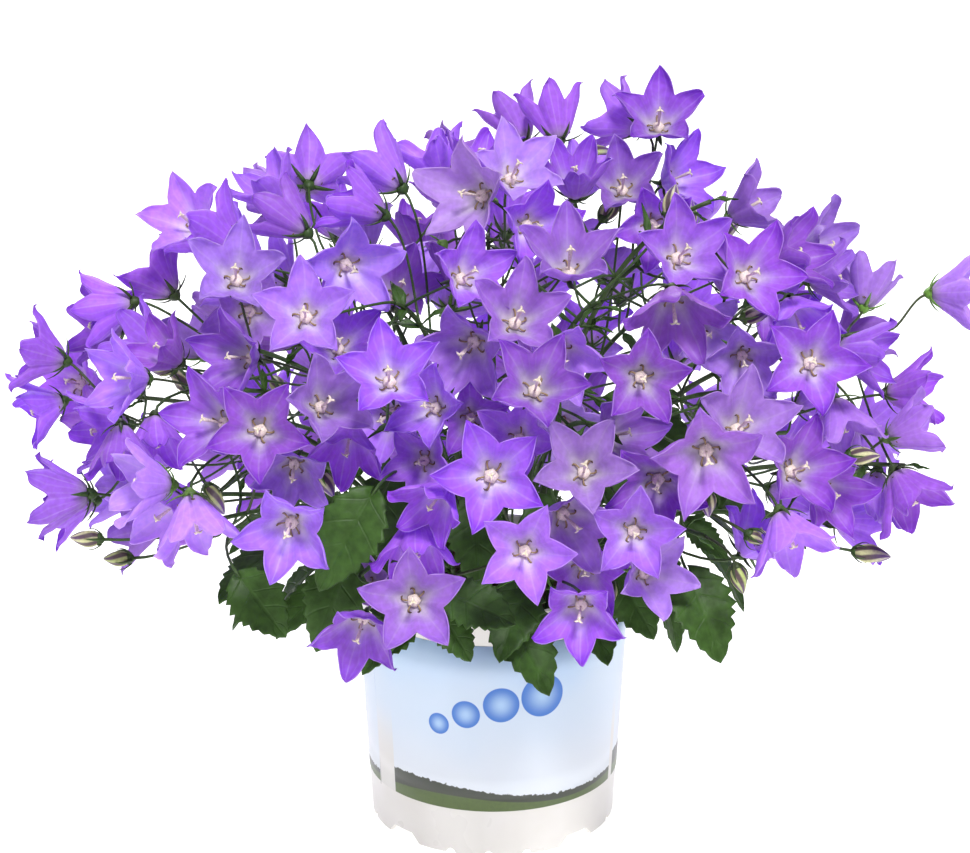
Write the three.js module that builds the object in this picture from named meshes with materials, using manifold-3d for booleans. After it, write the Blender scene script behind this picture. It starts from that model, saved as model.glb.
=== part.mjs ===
// Potted bellflower in full bloom: a grower's pot, its soil, branching sprays of five-lobed
// bells, and tufts of toothed leaves. Millimetres, +Z up. The origin is the middle of
// the pot's foot, and the plant's front faces -Y.
import * as THREE from "three";
import Module from "manifold-3d";
import { mergeVertices } from "three/addons/utils/BufferGeometryUtils.js";

const wasm = await Module();
wasm.setup();

// The pot: a 12 cm, one-litre injection-moulded grower's pot on a ring of low feet
const potHeight = 118;
const potTopRadius = 61;
const potFootRadius = 55;
const potWall = 1.4;
const rimOverhang = 1;
const rimDepth = 5;
const rimRoom = 5;
const footRingWall = 2.6;
const floorUnderside = 6.5;
const floorThickness = 1.5;
const potSides = 40;
const footCount = 4;
const footGapWidth = 15;
const footGapHeight = 4.6;
const footGapBearing = -137;
const nickRadius = 2.2;
const nickTurns = [27, 45, 63];
const drainTurn = 45;
const drainRadius = 4;
const drainCircle = 30;
const cutAllowance = 4;

// The soil fills the pot to a little under its rim, with a plain hole for each stem
const soilTop = 107;
const soilSides = 20;
const fitGap = 0.4;
const stemHoleDepth = 12;
const stemHoleSlack = 0.3;
const stemHoleOver = 10;

// The dome that the bells' throats lie on: a bun above the pot, nearly flat underneath
const domeMiddle = 150;
const domeAcross = 182;
const domeThrough = 152;
const domeHigh = 148;
const domeLow = 46;

// The plant is composed as it shows from the front, a little above
const eyeRise = THREE.MathUtils.degToRad(20);
const eyeDistance = 1250;
const shown = {
  middle: new THREE.Vector3(0, 0, domeMiddle),
  right: new THREE.Vector3(1, 0, 0),
  up: new THREE.Vector3(0, Math.sin(eyeRise), Math.cos(eyeRise)),
  near: new THREE.Vector3(0, -Math.cos(eyeRise), Math.sin(eyeRise)),
};

// Bells, as radius and height above the calyx of each ring of corners: when nearly shut, and how
// much more when wide open
const bellShape = {
  cup: { shut: [4.6, 2.6], opens: [0, 0] },
  notch: { shut: [8.5, 17], opens: [3.3, -4] },
  keel: { shut: [11, 20], opens: [4.2, -7.3] },
  tip: { shut: [12, 27], opens: [9, -9.5] },
};
const throatDepth = 4.5;

// A bud's room: balls at shares of its length, with their radii; and its belly's place and girth
const budRoom = [[0.25, 3.2], [0.6, 3.2], [0.9, 1.6]];
const budBelly = { place: 0.45, girth: 0.19 };

// Stems, stalks and leaves
const stemRadius = [1.45, 1.15];
const stemSteps = 7;
const tuftSteps = 3;
const stalkRadius = { root: 0.7, bell: 1, leaf: 1.2 };
const stalkRootLift = 1.1;
const stemShoulder = 3;
const stalkLength = [12, 85];
const leafThickness = 1.7;
const leafTeeth = 4;
const leafNeck = 2.2;
const leafFold = 0.16;
const leafDroop = 0.22;
const leafRoomRadius = 2.4;
const leafToothCut = 0.84;
const leafRibPlaces = [0.15, 0.45, 0.78];
const clearance = 0.8;

// A stalk may stray this far from its part's own direction, as the cosine of the angle
const straightest = { bell: 0.35, leaf: 0.5 };
const leavingLeast = 0.5;
const stalkWeights = { length: 1.7, straightness: 0.5, leaving: 0.2, crowd: 2.5 };
const springsTried = 16;
const rootReach = 6;

// How far a part slides in from the dome's surface along the line of sight to find room
const slideDepth = { bell: 120, bud: 60, leaf: 120 };
const slideSteps = { seek: 3, slide: 4 };
const slideFrom = 210;
const slideStop = -60;

const attempts = { bell: 6000, bud: 1500, leaf: 4000 };
const bellCount = 180;
const budCount = 22;
const leafCount = 44;

// Bells that fill the dome keep above the line of low bells and leaves that shows from the front
const fillFloor = { middle: 15, near: -60, up: -18 };

const colours = { pot: 0xf1efe8, soil: 0x2b221b, bells: 0x8d4fe0, leaves: 0x35501f };

// Sprays: bearing from the right-hand side (the front is -90) and rise above the horizon, in
// degrees, and reach as a share of the way from the dome's middle to its surface
const sprays = [];
for (let k = 0; k < 13; k += 1) sprays.push([-83 + k * 27.7, 4 + 5 * (k % 2), 0.84]);
for (let k = 0; k < 9; k += 1) sprays.push([-70 + k * 40, 33, 0.8]);
for (let k = 0; k < 5; k += 1) sprays.push([-52 + k * 72, 60, 0.8]);
sprays.push([-12, 61, 1.06], [2, 28, 1.07], [-9, 8.5, 1.0], [176, 17, 0.98]);

// Tufts of leaves: bearing, and distance of the foot from the pot's middle
const tufts = [];
for (let k = 0; k < 10; k += 1) tufts.push([-108 + k * 36, 50]);

// The bells that show best from the front: how far right and how high the throat shows from the
// dome's middle, the way the bell faces (right, up, near), the turn of one lobe in degrees, how
// wide the bell is open from 0 to 1, and its size against the usual one
const shownBells = [
  [-83, 78, 0, 0.15, 1, 90, 1, 1], [-103, 28, 0, 0, 1, 271, 1, 1], [-35, -47, 0, 0, 1, 97, 1, 1],
  [14, -25, 0, -0.05, 1, 68, 0.95, 0.95], [-1, 8, 0, 0, 1, 40, 1, 1.1],
  [18, 45, 0.1, 0.3, 1, 60, 0.95, 1],
  [9, 75, 0.2, 0.35, 1, 78, 0.95, 1], [-46, 49, 0, 0.35, 1, 100, 1, 1], [140, 58, 0, 0, 1, 67, 1, 1.05],
  [111, 96, 0.3, 0.1, 1, 60, 1, 1], [81, 104, 0.25, 0.25, 1, 95, 1, 1.05],
  [94, 20, 0, -0.35, 1, 100, 1, 1.1],
  [107, 28, 0.3, 0.3, 1, 78, 1, 1.05], [73, 7, -0.1, -0.3, 1, 60, 1, 1],
  [-114, 94, 0.05, 0.35, 1, 80, 1, 1],
  [-108, 81, 0, -0.15, 1, 270, 0.95, 1], [-89, -12, -0.1, -0.4, 1, 110, 0.95, 1],
  [-88, 14, 0, -0.5, 0.8, 250, 0.8, 0.9],
  [-118, 31, -0.55, 0.1, 0.8, 115, 1, 1], [-131, 117, -0.4, 0.35, 0.8, 120, 0.95, 1],
  [-66, 102, 0.3, -0.25, 0.9, 90, 1, 1.05],
  [-15, 95, 0.45, 0.2, 0.9, 80, 0.9, 0.95], [-4, 132, -0.55, 0, 0.8, 170, 1, 1.1],
  [-8, 68, -0.35, -0.4, 0.8, 30, 1, 1.05],
  [-77, 38, 0.35, 0.2, 0.9, 100, 0.9, 0.95], [-44, 36, -0.35, -0.25, 0.9, 200, 0.9, 1],
  [-25, 38, -0.35, 0.05, 0.9, 80, 0.85, 0.9],
  [-10, 34, 0, -0.1, 1, 20, 0.8, 0.85], [-30, 15, -0.2, -0.1, 1, 200, 0.8, 0.85],
  [-21, 3, -0.45, -0.6, 0.6, 0, 0.75, 0.9],
  [-34, -12, 0, -0.9, 0.4, 90, 0.7, 1], [-57, -54, -0.15, -0.6, 0.7, 180, 0.9, 0.95],
  [-53, -41, -0.3, 0.2, 0.9, 90, 0.6, 0.75],
  [40, 9, 0, 0.25, 1, 60, 0.95, 1], [32, 31, 0.1, -0.35, 0.9, 20, 0.95, 1],
  [30, -8, 0.4, -0.4, 0.8, 0, 0.95, 1.05],
  [62, -16, 0, -0.1, 1, 10, 0.9, 0.95], [40, -31, 0, -0.25, 1, 90, 0.9, 1],
  [39, -48, -0.1, -0.45, 0.9, 200, 0.9, 0.95],
  [66, -35, 0.35, 0, 0.9, 50, 0.9, 0.9], [127, -8, 0.3, -0.85, 0.3, 0, 0.85, 1],
  [131, 10, 0.35, 0.15, 0.9, 70, 0.95, 1],
  [143, 4, 0.5, -0.3, 0.8, 0, 0.9, 0.95], [79, 90, 0.05, -0.8, 0.6, 90, 0.9, 1.1],
  [65, 52, 0.05, -0.1, 1, 300, 0.9, 0.95],
  [33, 97, 0.05, 0.6, 0.8, 90, 0.9, 1.05], [14, 119, 0.4, -0.1, 0.9, 10, 0.85, 0.95],
  [7, 139, 0.25, 0.4, 0.9, 100, 0.95, 1],
  [29, 157, -0.2, 0.9, -0.3, 0, 0.5, 1], [14, 157, -0.4, 0.85, -0.2, 40, 0.5, 0.95],
  [36, 132, 0, 0.75, 0.6, 60, 0.6, 0.95],
  [76, 138, 0.6, 0.2, 0.6, 60, 0.9, 1], [105, 123, 0.6, 0.3, 0.3, 60, 0.8, 1],
  [70, 120, 0.1, -0.2, 0.9, 40, 0.9, 0.95],
  [57, 134, 0, 0.3, 0.8, 100, 0.9, 0.95], [137, 108, 0.75, 0.1, 0.5, 80, 0.95, 1.05],
  [131, 86, 0.2, -0.6, 0.4, 0, 0.9, 1],
  [153, 64, 0.85, -0.15, 0.3, 90, 0.6, 1], [151, 42, 0.2, -0.7, 0.2, 0, 0.8, 0.95],
  [163, 31, 0.1, -0.9, -0.2, 30, 0.6, 0.9],
  [110, 62, 0, -0.35, 0.9, 100, 0.9, 0.9], [-160, 85, -0.9, -0.15, -0.3, 90, 0.7, 1],
  [-165, 73, -0.8, 0.05, 0.4, 90, 0.8, 1],
  [-190, 59, -0.85, 0.25, 0.1, 90, 0.95, 1], [-182, 48, -0.35, 0.1, 0.9, 150, 0.95, 1],
  [-191, 41, -0.8, -0.3, 0.2, 40, 0.9, 0.95],
  [-154, 51, -0.75, 0, 0.6, 90, 0.9, 1], [-152, 71, 0.1, -0.8, -0.3, 0, 0.6, 0.9],
  [-178, 37, -0.3, -0.85, 0.2, 0, 0.8, 0.95],
  [-165, 30, 0.1, -0.9, 0.2, 50, 0.7, 0.9], [-150, 34, 0.1, -0.85, 0.3, 20, 0.7, 0.9],
  [-143, 4, -0.85, 0.05, 0.4, 90, 0.75, 1],
  [-138, -3, -0.6, -0.5, 0.6, 0, 0.9, 1], [-134, -1, 0.2, -0.9, 0.2, 0, 0.8, 1],
  [-82, 137, 0, 0.45, -0.85, 90, 0.95, 1],
  [-89, 133, -0.85, 0, -0.1, 60, 0.7, 0.9], [-83, 116, -0.7, 0.55, -0.3, 30, 0.6, 0.95],
  [-49, 124, -0.75, 0.35, 0.1, 60, 0.6, 1],
  [-41, 136, -0.65, 0.65, -0.3, 20, 0.6, 1], [-43, 86, 0.2, 0.45, 0.8, 60, 0.9, 0.95],
  [-23, 139, -0.3, 0.75, 0.2, 30, 0.7, 0.95],
  [-6, 137, 0.05, 0.85, 0.2, 0, 0.7, 1], [-23, 110, -0.6, -0.5, -0.3, 0, 0.6, 0.95],
  [-106, 60, -0.6, 0, 0.7, 100, 0.9, 1],
  [-69, 64, 0.1, 0.2, 0.9, 30, 0.9, 1], [-63, 30, -0.1, -0.75, 0.5, 40, 0.8, 0.95],
  [-63, 114, 0.2, -0.5, 0.6, 60, 0.8, 0.9],
  [49, 25, 0.5, 0.1, 0.6, 60, 0.9, 1], [46, 73, 0.3, 0.1, 0.8, 30, 0.9, 1],
  [29, 66, 0.1, -0.4, 0.7, 0, 0.8, 0.95],
  [90, 73, 0.3, -0.2, 0.8, 60, 0.8, 0.9], [121, 86, 0.2, -0.3, 0.7, 100, 0.8, 0.9],
];

// Bells on the sprays that stand out beyond the dome
const outlyingBells = [
  [73, 162, 0, 0.45, 0.9, 90, 1, 1], [83, 160, 0.85, 0.05, 0.1, 80, 1, 1.05],
  [65, 163, -0.75, 0.35, -0.3, 60, 0.9, 1],
  [164, 83, 0.2, 0.85, -0.3, 0, 0.6, 0.9], [194, 89, 0.9, 0, 0.1, 90, 0.9, 1],
  [182, 78, 0.35, -0.8, -0.1, 0, 0.6, 0.95],
  [175, 25, 0.8, 0.3, 0.1, 60, 0.6, 0.9], [178, 10, 0.45, -0.8, 0.3, 0, 0.8, 1.05],
  [170, 10, -0.25, -0.95, 0, 40, 0.6, 0.9],
];

// Buds that show: place, way they point, and length
const shownBuds = [
  [38, 151, 1, -0.05, 0.1, 18], [77, 123, 0.25, 0.95, 0.2, 14], [-127, 4, 0.5, -0.8, 0.2, 15],
  [-76, 10, 0.4, -0.85, 0.2, 12], [156, 17, 1, 0, 0.1, 14], [164, 24, -1, 0.3, 0, 11],
  [-40, -11, 0.8, 0.55, 0.2, 17], [107, -31, 0.25, -0.95, 0.1, 12], [112, -17, 0.8, -0.5, 0.1, 8],
  [56, 95, -1, -0.15, 0.2, 18], [110, 78, 1, 0.2, 0.2, 12], [52, -38, -0.2, -1, 0.2, 13],
  [92, 39, 1, 0.2, 0.1, 14], [95, 2, 0, -1, 0.1, 11],
];

// Leaves that show: place of the leaf's foot, way it points, way its upper face looks, length
// and width
const shownLeaves = [
  [86, -59, -1, -0.12, 0.15, 0, 0.5, 1, 43, 30], [86, -35, 0.35, -0.8, 0.3, 0.2, 0.4, 1, 38, 30],
  [-112, -37, 0.6, -0.75, 0.2, -0.2, 0.4, 1, 30, 26], [-64, -30, -0.35, -0.9, 0.2, 0, 0.4, 1, 38, 28],
  [-19, -45, 0.9, -0.3, 0.3, 0, 0.5, 1, 28, 25], [-23, -53, 0.55, -0.8, 0.2, 0, 0.4, 1, 22, 18],
  [-6, -38, 0.9, -0.15, 0.3, 0, 0.8, 0.8, 36, 28], [51, 40, 0.9, -0.4, 0.2, 0, 0.4, 1, 42, 30],
  [-8, -2, 0.05, -1, 0.3, 0, 0.3, 1, 38, 28], [-54, -1, -0.5, -0.85, 0.2, 0, 0.3, 1, 42, 30],
  [-117, 3, 0.95, -0.2, 0.2, 0, 0.6, 0.8, 32, 20], [-41, 12, -0.3, -0.9, 0.2, 0, 0.3, 1, 34, 26],
  [55, -36, 0.5, -0.8, 0.2, 0, 0.4, 1, 30, 24], [86, -12, 0.75, -0.65, 0.2, 0, 0.5, 0.9, 24, 14],
  [20, -3, 0.3, -0.9, 0.2, 0, 0.3, 1, 34, 26], [58, 10, 0.2, -0.9, 0.2, 0.1, 0.3, 1, 34, 26],
];

// Pseudo-random numbers from 0 to 1, the same on every run
function makeRandom(seed) {
  let state = seed;
  return () => {
    state = (Math.imul(state, 1664525) + 1013904223) >>> 0;
    return state / 4294967296;
  };
}

const counts = { bell: 0, bud: 0, leaf: 0 };

const radians = THREE.MathUtils.degToRad;

function along(from, direction, distance) {
  return from.clone().addScaledVector(direction, distance);
}

// A direction given as it shows: right, up and near
function shownWay(right, up, near) {
  const way = shown.right.clone().multiplyScalar(right);
  return way.addScaledVector(shown.up, up).addScaledVector(shown.near, near).normalize();
}

// The point that shows at a place in the picture plane, brought near along the line of sight
function shownPoint(right, up, near) {
  const place = along(along(shown.middle, shown.right, right), shown.up, up);
  const eye = along(shown.middle, shown.near, eyeDistance);
  return along(place, eye.sub(place).normalize(), near);
}

function insideDome(point) {
  const high = point.z > domeMiddle ? domeHigh : domeLow;
  const scaled = [point.x / domeAcross, point.y / domeThrough, (point.z - domeMiddle) / high];
  return Math.hypot(...scaled) < 1;
}

// Directions round an axis: the angle turns from its right-hand side towards its top
function spokes(axis) {
  const right = new THREE.Vector3(0, 0, 1).cross(axis);
  if (right.length() < 0.05) right.set(1, 0, 0);
  right.normalize();
  const top = axis.clone().cross(right).normalize();
  return (angle) => right.clone().multiplyScalar(Math.cos(angle)).addScaledVector(top, Math.sin(angle));
}

// Closed solids are gathered as points and three-cornered faces
function newSolid() {
  return { points: [], faces: [] };
}

function addPoint(solid, point) {
  solid.points.push(point);
  return solid.points.length - 1;
}

function addRing(solid, points) {
  return points.map((point) => addPoint(solid, point));
}

function addFace(solid, a, b, c) {
  if (a !== b && b !== c && c !== a) solid.faces.push([a, b, c]);
}

// Join two chains of points into a strip, always moving on along the one that lags
function zip(solid, first, second, flip = false) {
  const ends = [first.length - 1, second.length - 1];
  let [i, j] = [0, 0];
  while (i < ends[0] || j < ends[1]) {
    const moveFirst = j >= ends[1] || (i < ends[0] && (i + 1) / ends[0] <= (j + 1) / ends[1]);
    const third = moveFirst ? first[i + 1] : second[j + 1];
    if (flip) addFace(solid, first[i], second[j], third);
    else addFace(solid, first[i], third, second[j]);
    if (moveFirst) i += 1;
    else j += 1;
  }
}

function zipRings(solid, low, high) {
  zip(solid, [...low, low[0]], [...high, high[0]]);
}

function fanToPoint(solid, ring, point) {
  ring.forEach((corner, k) => addFace(solid, corner, ring[(k + 1) % ring.length], point));
}

function capStart(solid, ring) {
  for (let k = 1; k + 1 < ring.length; k += 1) addFace(solid, ring[0], ring[k + 1], ring[k]);
}

function capEnd(solid, ring) {
  for (let k = 1; k + 1 < ring.length; k += 1) addFace(solid, ring[0], ring[k], ring[k + 1]);
}

// The same ring, begun at the corner that gives the least twisted strip from another ring
function matched(solid, other, ring) {
  const stripLength = (start) => other.reduce((sum, corner, k) => {
    const across = (start + Math.round((k * ring.length) / other.length)) % ring.length;
    return sum + solid.points[corner].distanceTo(solid.points[ring[across]]);
  }, 0);
  const lengths = ring.map((_, start) => stripLength(start));
  const start = lengths.indexOf(Math.min(...lengths));
  return [...ring.slice(start), ...ring.slice(0, start)];
}

function toGeometry(solid) {
  const geometry = new THREE.BufferGeometry();
  const positions = solid.points.flatMap((point) => point.toArray());
  geometry.setAttribute("position", new THREE.Float32BufferAttribute(positions, 3));
  geometry.setIndex(solid.faces.flat());
  return geometry;
}

// Boolean work
function toManifold(geometry) {
  const bare = geometry.clone();
  bare.deleteAttribute("normal");
  bare.deleteAttribute("uv");
  const merged = mergeVertices(bare, 1e-4);
  const vertProperties = new Float32Array(merged.attributes.position.array);
  const triVerts = new Uint32Array(merged.index.array);
  return new wasm.Manifold(new wasm.Mesh({ numProp: 3, vertProperties, triVerts }));
}

function fromManifold(manifold) {
  const mesh = manifold.getMesh();
  const geometry = new THREE.BufferGeometry();
  geometry.setAttribute("position", new THREE.Float32BufferAttribute(mesh.vertProperties, 3));
  geometry.setIndex(Array.from(mesh.triVerts));
  return geometry;
}

// The parts of the plant already placed, as balls that the next part must stay clear of
const placed = [];

function place(balls, owner) {
  balls.forEach((ball) => placed.push({ ...ball, owner }));
}

function ball(centre, radius) {
  return { centre, radius };
}

function ballsAlong(from, to, radius, step) {
  const count = Math.ceil(from.distanceTo(to) / step);
  return Array.from({ length: count + 1 }, (_, k) => ball(from.clone().lerp(to, k / count), radius));
}

// Clear of the pot: beside it, above its rim, or above the soil inside it
function clearOfPot({ centre, radius }) {
  const out = Math.hypot(centre.x, centre.y);
  const beside = out > potTopRadius + rimOverhang + radius + 1;
  const above = centre.z > potHeight + radius + 1;
  const inside = out + radius < potTopRadius - rimRoom && centre.z > soilTop + radius + 1;
  return beside || above || inside;
}

function apart(balls, others) {
  return balls.every((one) => others.every((other) => (
    one.centre.distanceTo(other.centre) > one.radius + other.radius
  )));
}

function isClear(balls, ignore = () => false) {
  return balls.every((one) => clearOfPot(one) && placed.every((other) => {
    const reach = one.radius + other.radius + clearance;
    return one.centre.distanceToSquared(other.centre) > reach * reach || ignore(other);
  }));
}

// A four-sided stem along a curve, its foot sunk in the soil's hole: rings of corners from the
// foot up, and the faces that a stalk may spring from
function stemAlong(curve, out, steps) {
  const side = new THREE.Vector3(-out.y, out.x, 0);
  const ringAt = (centre, forward, radius) => {
    const across = forward.clone().cross(side);
    return [0, 1, 2, 3].map((k) => {
      const turned = side.clone().multiplyScalar(Math.cos((k * Math.PI) / 2));
      return along(centre, turned.addScaledVector(across, Math.sin((k * Math.PI) / 2)), radius);
    });
  };
  const upright = new THREE.Vector3(0, 0, 1);
  const bottom = curve.getPoint(0);
  bottom.z = soilTop - stemHoleDepth + fitGap;
  const rings = [ringAt(bottom, upright, stemRadius[0])];
  for (let k = 0; k <= steps; k += 1) {
    const forward = k === 0 ? upright : curve.getTangent(k / steps);
    rings.push(ringAt(curve.getPoint(k / steps), forward, THREE.MathUtils.lerp(...stemRadius, k / steps)));
  }
  return { curve, out, rings };
}

// Where stalks may spring from: the side faces of a stem's upper rings, and its end
function stemSprings({ name, rings, firstRing }) {
  const springs = [];
  const addSpring = (key, corners) => {
    const centre = new THREE.Vector3();
    corners.forEach((corner) => centre.addScaledVector(corner, 0.25));
    const diagonals = [corners[2].clone().sub(corners[0]), corners[3].clone().sub(corners[1])];
    const normal = diagonals[0].cross(diagonals[1]).normalize();
    const low = corners[0].clone().add(corners[1]).multiplyScalar(0.5).sub(centre).normalize();
    const point = along(centre, normal, stalkRootLift);
    springs.push({ owner: name, key, point, normal, low, taken: false });
  };
  for (let k = firstRing; k + 1 < rings.length; k += 1) {
    const [low, high] = [rings[k], rings[k + 1]];
    for (let j = 0; j < 4; j += 1) {
      const next = (j + 1) % 4;
      addSpring(`${k} ${j}`, [low[j], low[next], high[next], high[j]]);
    }
  }
  addSpring("end", rings[rings.length - 1]);
  return springs;
}

// A stem leaves the soil upright and arches out to its end in the plane of its bearing
function stemPath([bearing, rise, reach]) {
  const out = new THREE.Vector3(Math.cos(radians(bearing)), Math.sin(radians(bearing)), 0);
  const flat = Math.cos(radians(rise)) * reach;
  const end = new THREE.Vector3(out.x * domeAcross * flat, out.y * domeThrough * flat, domeMiddle);
  end.z += Math.sin(radians(rise)) * reach * domeHigh;
  const foot = out.clone().multiplyScalar(45 * Math.cos(radians(rise)) - 3);
  foot.z = soilTop + stemShoulder;
  const bend = along(foot, out, 8);
  bend.z = foot.z + 0.75 * (end.z - foot.z) + 18;
  return stemAlong(new THREE.QuadraticBezierCurve3(foot, bend, end), out, stemSteps);
}

function tuftPath([bearing, distance]) {
  const out = new THREE.Vector3(Math.cos(radians(bearing)), Math.sin(radians(bearing)), 0);
  const foot = out.clone().multiplyScalar(distance);
  foot.z = soilTop + stemShoulder;
  const end = along(foot, out, 6);
  end.z += 26;
  const bend = foot.clone().lerp(end, 0.5);
  bend.z += 4;
  return stemAlong(new THREE.QuadraticBezierCurve3(foot, bend, end), out, tuftSteps);
}

function stemBalls({ curve }) {
  const count = Math.ceil(curve.getLength() / 3);
  return curve.getPoints(count).map((point) => ball(point, stemRadius[0]));
}

// Three corners round a stalk, begun at the side that a direction points to
function stalkCorners(centre, way, start, radius) {
  const first = along(start, way, -start.dot(way)).normalize();
  const second = way.clone().cross(first);
  return [0, 1, 2].map((k) => {
    const angle = (k * 2 * Math.PI) / 3;
    const turned = first.clone().multiplyScalar(Math.cos(angle)).addScaledVector(second, Math.sin(angle));
    return along(centre, turned, radius);
  });
}

// The way a stalk runs from its spring, and a direction square to it
function stalkRun({ base, spring }) {
  const way = base.clone().sub(spring.point).normalize();
  return { way, square: along(spring.low, way, -spring.low.dot(way)).normalize() };
}

// A three-sided stalk that swells out of a stem's face and ends in a given ring of corners
function growStalk(solid, face, part, ring) {
  const { way, square } = stalkRun(part);
  const root = addRing(solid, stalkCorners(part.spring.point, way, square, stalkRadius.root));
  zipRings(solid, face, root);
  zipRings(solid, root, matched(solid, root, ring));
}

// The corners at the back of a bell or bud, facing between its stalk and its axis
function calyxCorners(part) {
  const { way, square } = stalkRun(part);
  return stalkCorners(part.base, way.add(part.axis).normalize(), square, stalkRadius.bell);
}

// The bell's outline as radius and height above the calyx, for how wide it is open
function bellOutline(open, size) {
  const rings = Object.entries(bellShape).map(([name, { shut, opens }]) => (
    [name, shut.map((value, k) => (value + opens[k] * open) * size)]
  ));
  return { ...Object.fromEntries(rings), throat: throatDepth * size };
}

function bellPoints(bell) {
  const outline = bellOutline(bell.open, bell.size);
  const spoke = spokes(bell.axis);
  const ringOf = ([radius, height], shift) => [0, 1, 2, 3, 4].map((k) => {
    const angle = radians(bell.turn + 36 * (2 * k - 1 + shift));
    return along(along(bell.base, bell.axis, height), spoke(angle), radius);
  });
  return {
    cups: ringOf(outline.cup, 0),
    notches: ringOf(outline.notch, 0),
    keels: ringOf(outline.keel, 1),
    tips: ringOf(outline.tip, 1),
    throat: along(bell.base, bell.axis, outline.throat),
  };
}

function bellBalls(bell) {
  const { size, base, axis } = bell;
  const { notches, keels, tips } = bellPoints(bell);
  const [low, inner] = [along(base, axis, 3.5 * size), along(base, axis, 6 * size)];
  const balls = [
    ball(along(base, axis, 2.5 * size), 4.5 * size),
    ball(along(base, axis, 10.5 * size), 7.2 * size),
  ];
  notches.forEach((notch, k) => {
    balls.push(ball(notch.clone().lerp(inner, 0.2), 3 * size));
    [k, (k + 4) % 5].forEach((lobe) => balls.push(ball(notch.clone().lerp(tips[lobe], 0.4), 1.8 * size)));
  });
  keels.forEach((keel, k) => {
    balls.push(ball(keel.clone().lerp(low, 0.5), 3 * size));
    balls.push(ball(keel, 3.4 * size));
    balls.push(ball(keel.clone().lerp(tips[k], 0.5), 2.5 * size));
    balls.push(ball(keel.clone().lerp(tips[k], 0.9), 1.4 * size));
  });
  return balls;
}

// A five-lobed bell: calyx cup, spreading wall, and lobes with a keel behind and a sharp rim
function growBell(solid, face, bell) {
  const points = bellPoints(bell);
  const calyx = addRing(solid, calyxCorners(bell));
  const firstCup = solid.points.length;
  const cups = matched(solid, calyx, addRing(solid, points.cups));
  const turned = cups.map((corner) => corner - firstCup);
  const rim = addRing(solid, turned.flatMap((k) => [points.notches[k], points.keels[k]]));
  const tips = addRing(solid, turned.map((k) => points.tips[k]));
  const throat = addPoint(solid, points.throat);
  growStalk(solid, face, bell, calyx);
  zipRings(solid, calyx, cups);
  zipRings(solid, cups, rim);
  tips.forEach((tip, k) => {
    const [notch, keel, nextNotch] = [rim[2 * k], rim[2 * k + 1], rim[(2 * k + 2) % rim.length]];
    addFace(solid, notch, keel, tip);
    addFace(solid, keel, nextNotch, tip);
    addFace(solid, notch, tip, throat);
    addFace(solid, tip, nextNotch, throat);
  });
}

function budBalls(bud) {
  return budRoom.map(([t, radius]) => ball(along(bud.base, bud.axis, t * bud.length), radius));
}

function growBud(solid, face, bud) {
  const calyx = addRing(solid, calyxCorners(bud));
  const middle = along(bud.base, bud.axis, budBelly.place * bud.length);
  const spoke = spokes(bud.axis);
  const corners = [0, 1, 2, 3, 4].map((k) => along(middle, spoke(radians(72 * k)), budBelly.girth * bud.length));
  const belly = matched(solid, calyx, addRing(solid, corners));
  growStalk(solid, face, bud, calyx);
  zipRings(solid, calyx, belly);
  fanToPoint(solid, belly, addPoint(solid, along(bud.base, bud.axis, bud.length)));
}

// A leaf blade: across runs over its width, up over its length, lift off its upper face
function leafPoint(leaf, across, up, lift) {
  const fold = leafFold * Math.abs(across) - (leafDroop * up * up) / leaf.length;
  const right = leaf.way.clone().cross(leaf.face);
  return along(along(along(leaf.base, right, across), leaf.way, up), leaf.face, fold + lift);
}

function leafHalfWidth(leaf, t) {
  return 0.5 * leaf.width * Math.sin(Math.PI * t ** 0.72) ** 0.8;
}

function leafBalls(leaf) {
  const balls = [];
  const rows = Math.ceil(leaf.length / 5);
  for (let k = 0; k <= rows; k += 1) {
    const t = 0.04 + (0.92 * k) / rows;
    const half = leafHalfWidth(leaf, t);
    [-0.85, -0.42, 0, 0.42, 0.85].forEach((share) => {
      balls.push(ball(leafPoint(leaf, half * share, t * leaf.length, 0), leafRoomRadius));
    });
  }
  return balls;
}

// Each side's edge: forward-pointing teeth between the leaf's foot and its tip
function leafEdge(leaf, side) {
  const edge = [];
  for (let k = 0; k < leafTeeth; k += 1) {
    const tooth = (k + 0.75) / (leafTeeth + 0.5);
    const notch = tooth + 0.05;
    edge.push(leafPoint(leaf, side * leafHalfWidth(leaf, tooth), tooth * leaf.length, 0));
    edge.push(leafPoint(leaf, side * leafToothCut * leafHalfWidth(leaf, notch), notch * leaf.length, 0));
  }
  return edge;
}

// A leaf on its stalk: two faces that meet in a sharp toothed edge, thickest along the rib
function growLeaf(solid, face, leaf) {
  const foot = addRing(solid, stalkCorners(leaf.base, leaf.way, leaf.face, stalkRadius.leaf));
  const [top, rightFoot, leftFoot] = foot;
  const tip = addPoint(solid, leafPoint(leaf, 0, leaf.length, 0));
  const right = [rightFoot, ...addRing(solid, leafEdge(leaf, 1)), tip];
  const left = [leftFoot, ...addRing(solid, leafEdge(leaf, -1)), tip];
  const ribPoints = (lift) => leafRibPlaces.map((t) => leafPoint(leaf, 0, t * leaf.length, lift));
  const upper = [top, ...addRing(solid, ribPoints(leafThickness / 2)), tip];
  const lower = [...addRing(solid, ribPoints(-leafThickness / 2)), tip];
  const { way } = stalkRun(leaf);
  const bend = new THREE.Quaternion().setFromUnitVectors(leaf.way, way);
  const neckTop = leaf.face.clone().applyQuaternion(bend);
  const neckMiddle = along(leaf.base, way, -leafNeck);
  const neck = addRing(solid, stalkCorners(neckMiddle, way, neckTop, stalkRadius.leaf));
  growStalk(solid, face, leaf, neck);
  zipRings(solid, neck, foot);
  zip(solid, right, upper);
  zip(solid, upper, left);
  zip(solid, right, lower, true);
  zip(solid, lower, left, true);
  addFace(solid, rightFoot, leftFoot, lower[0]);
}

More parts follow.
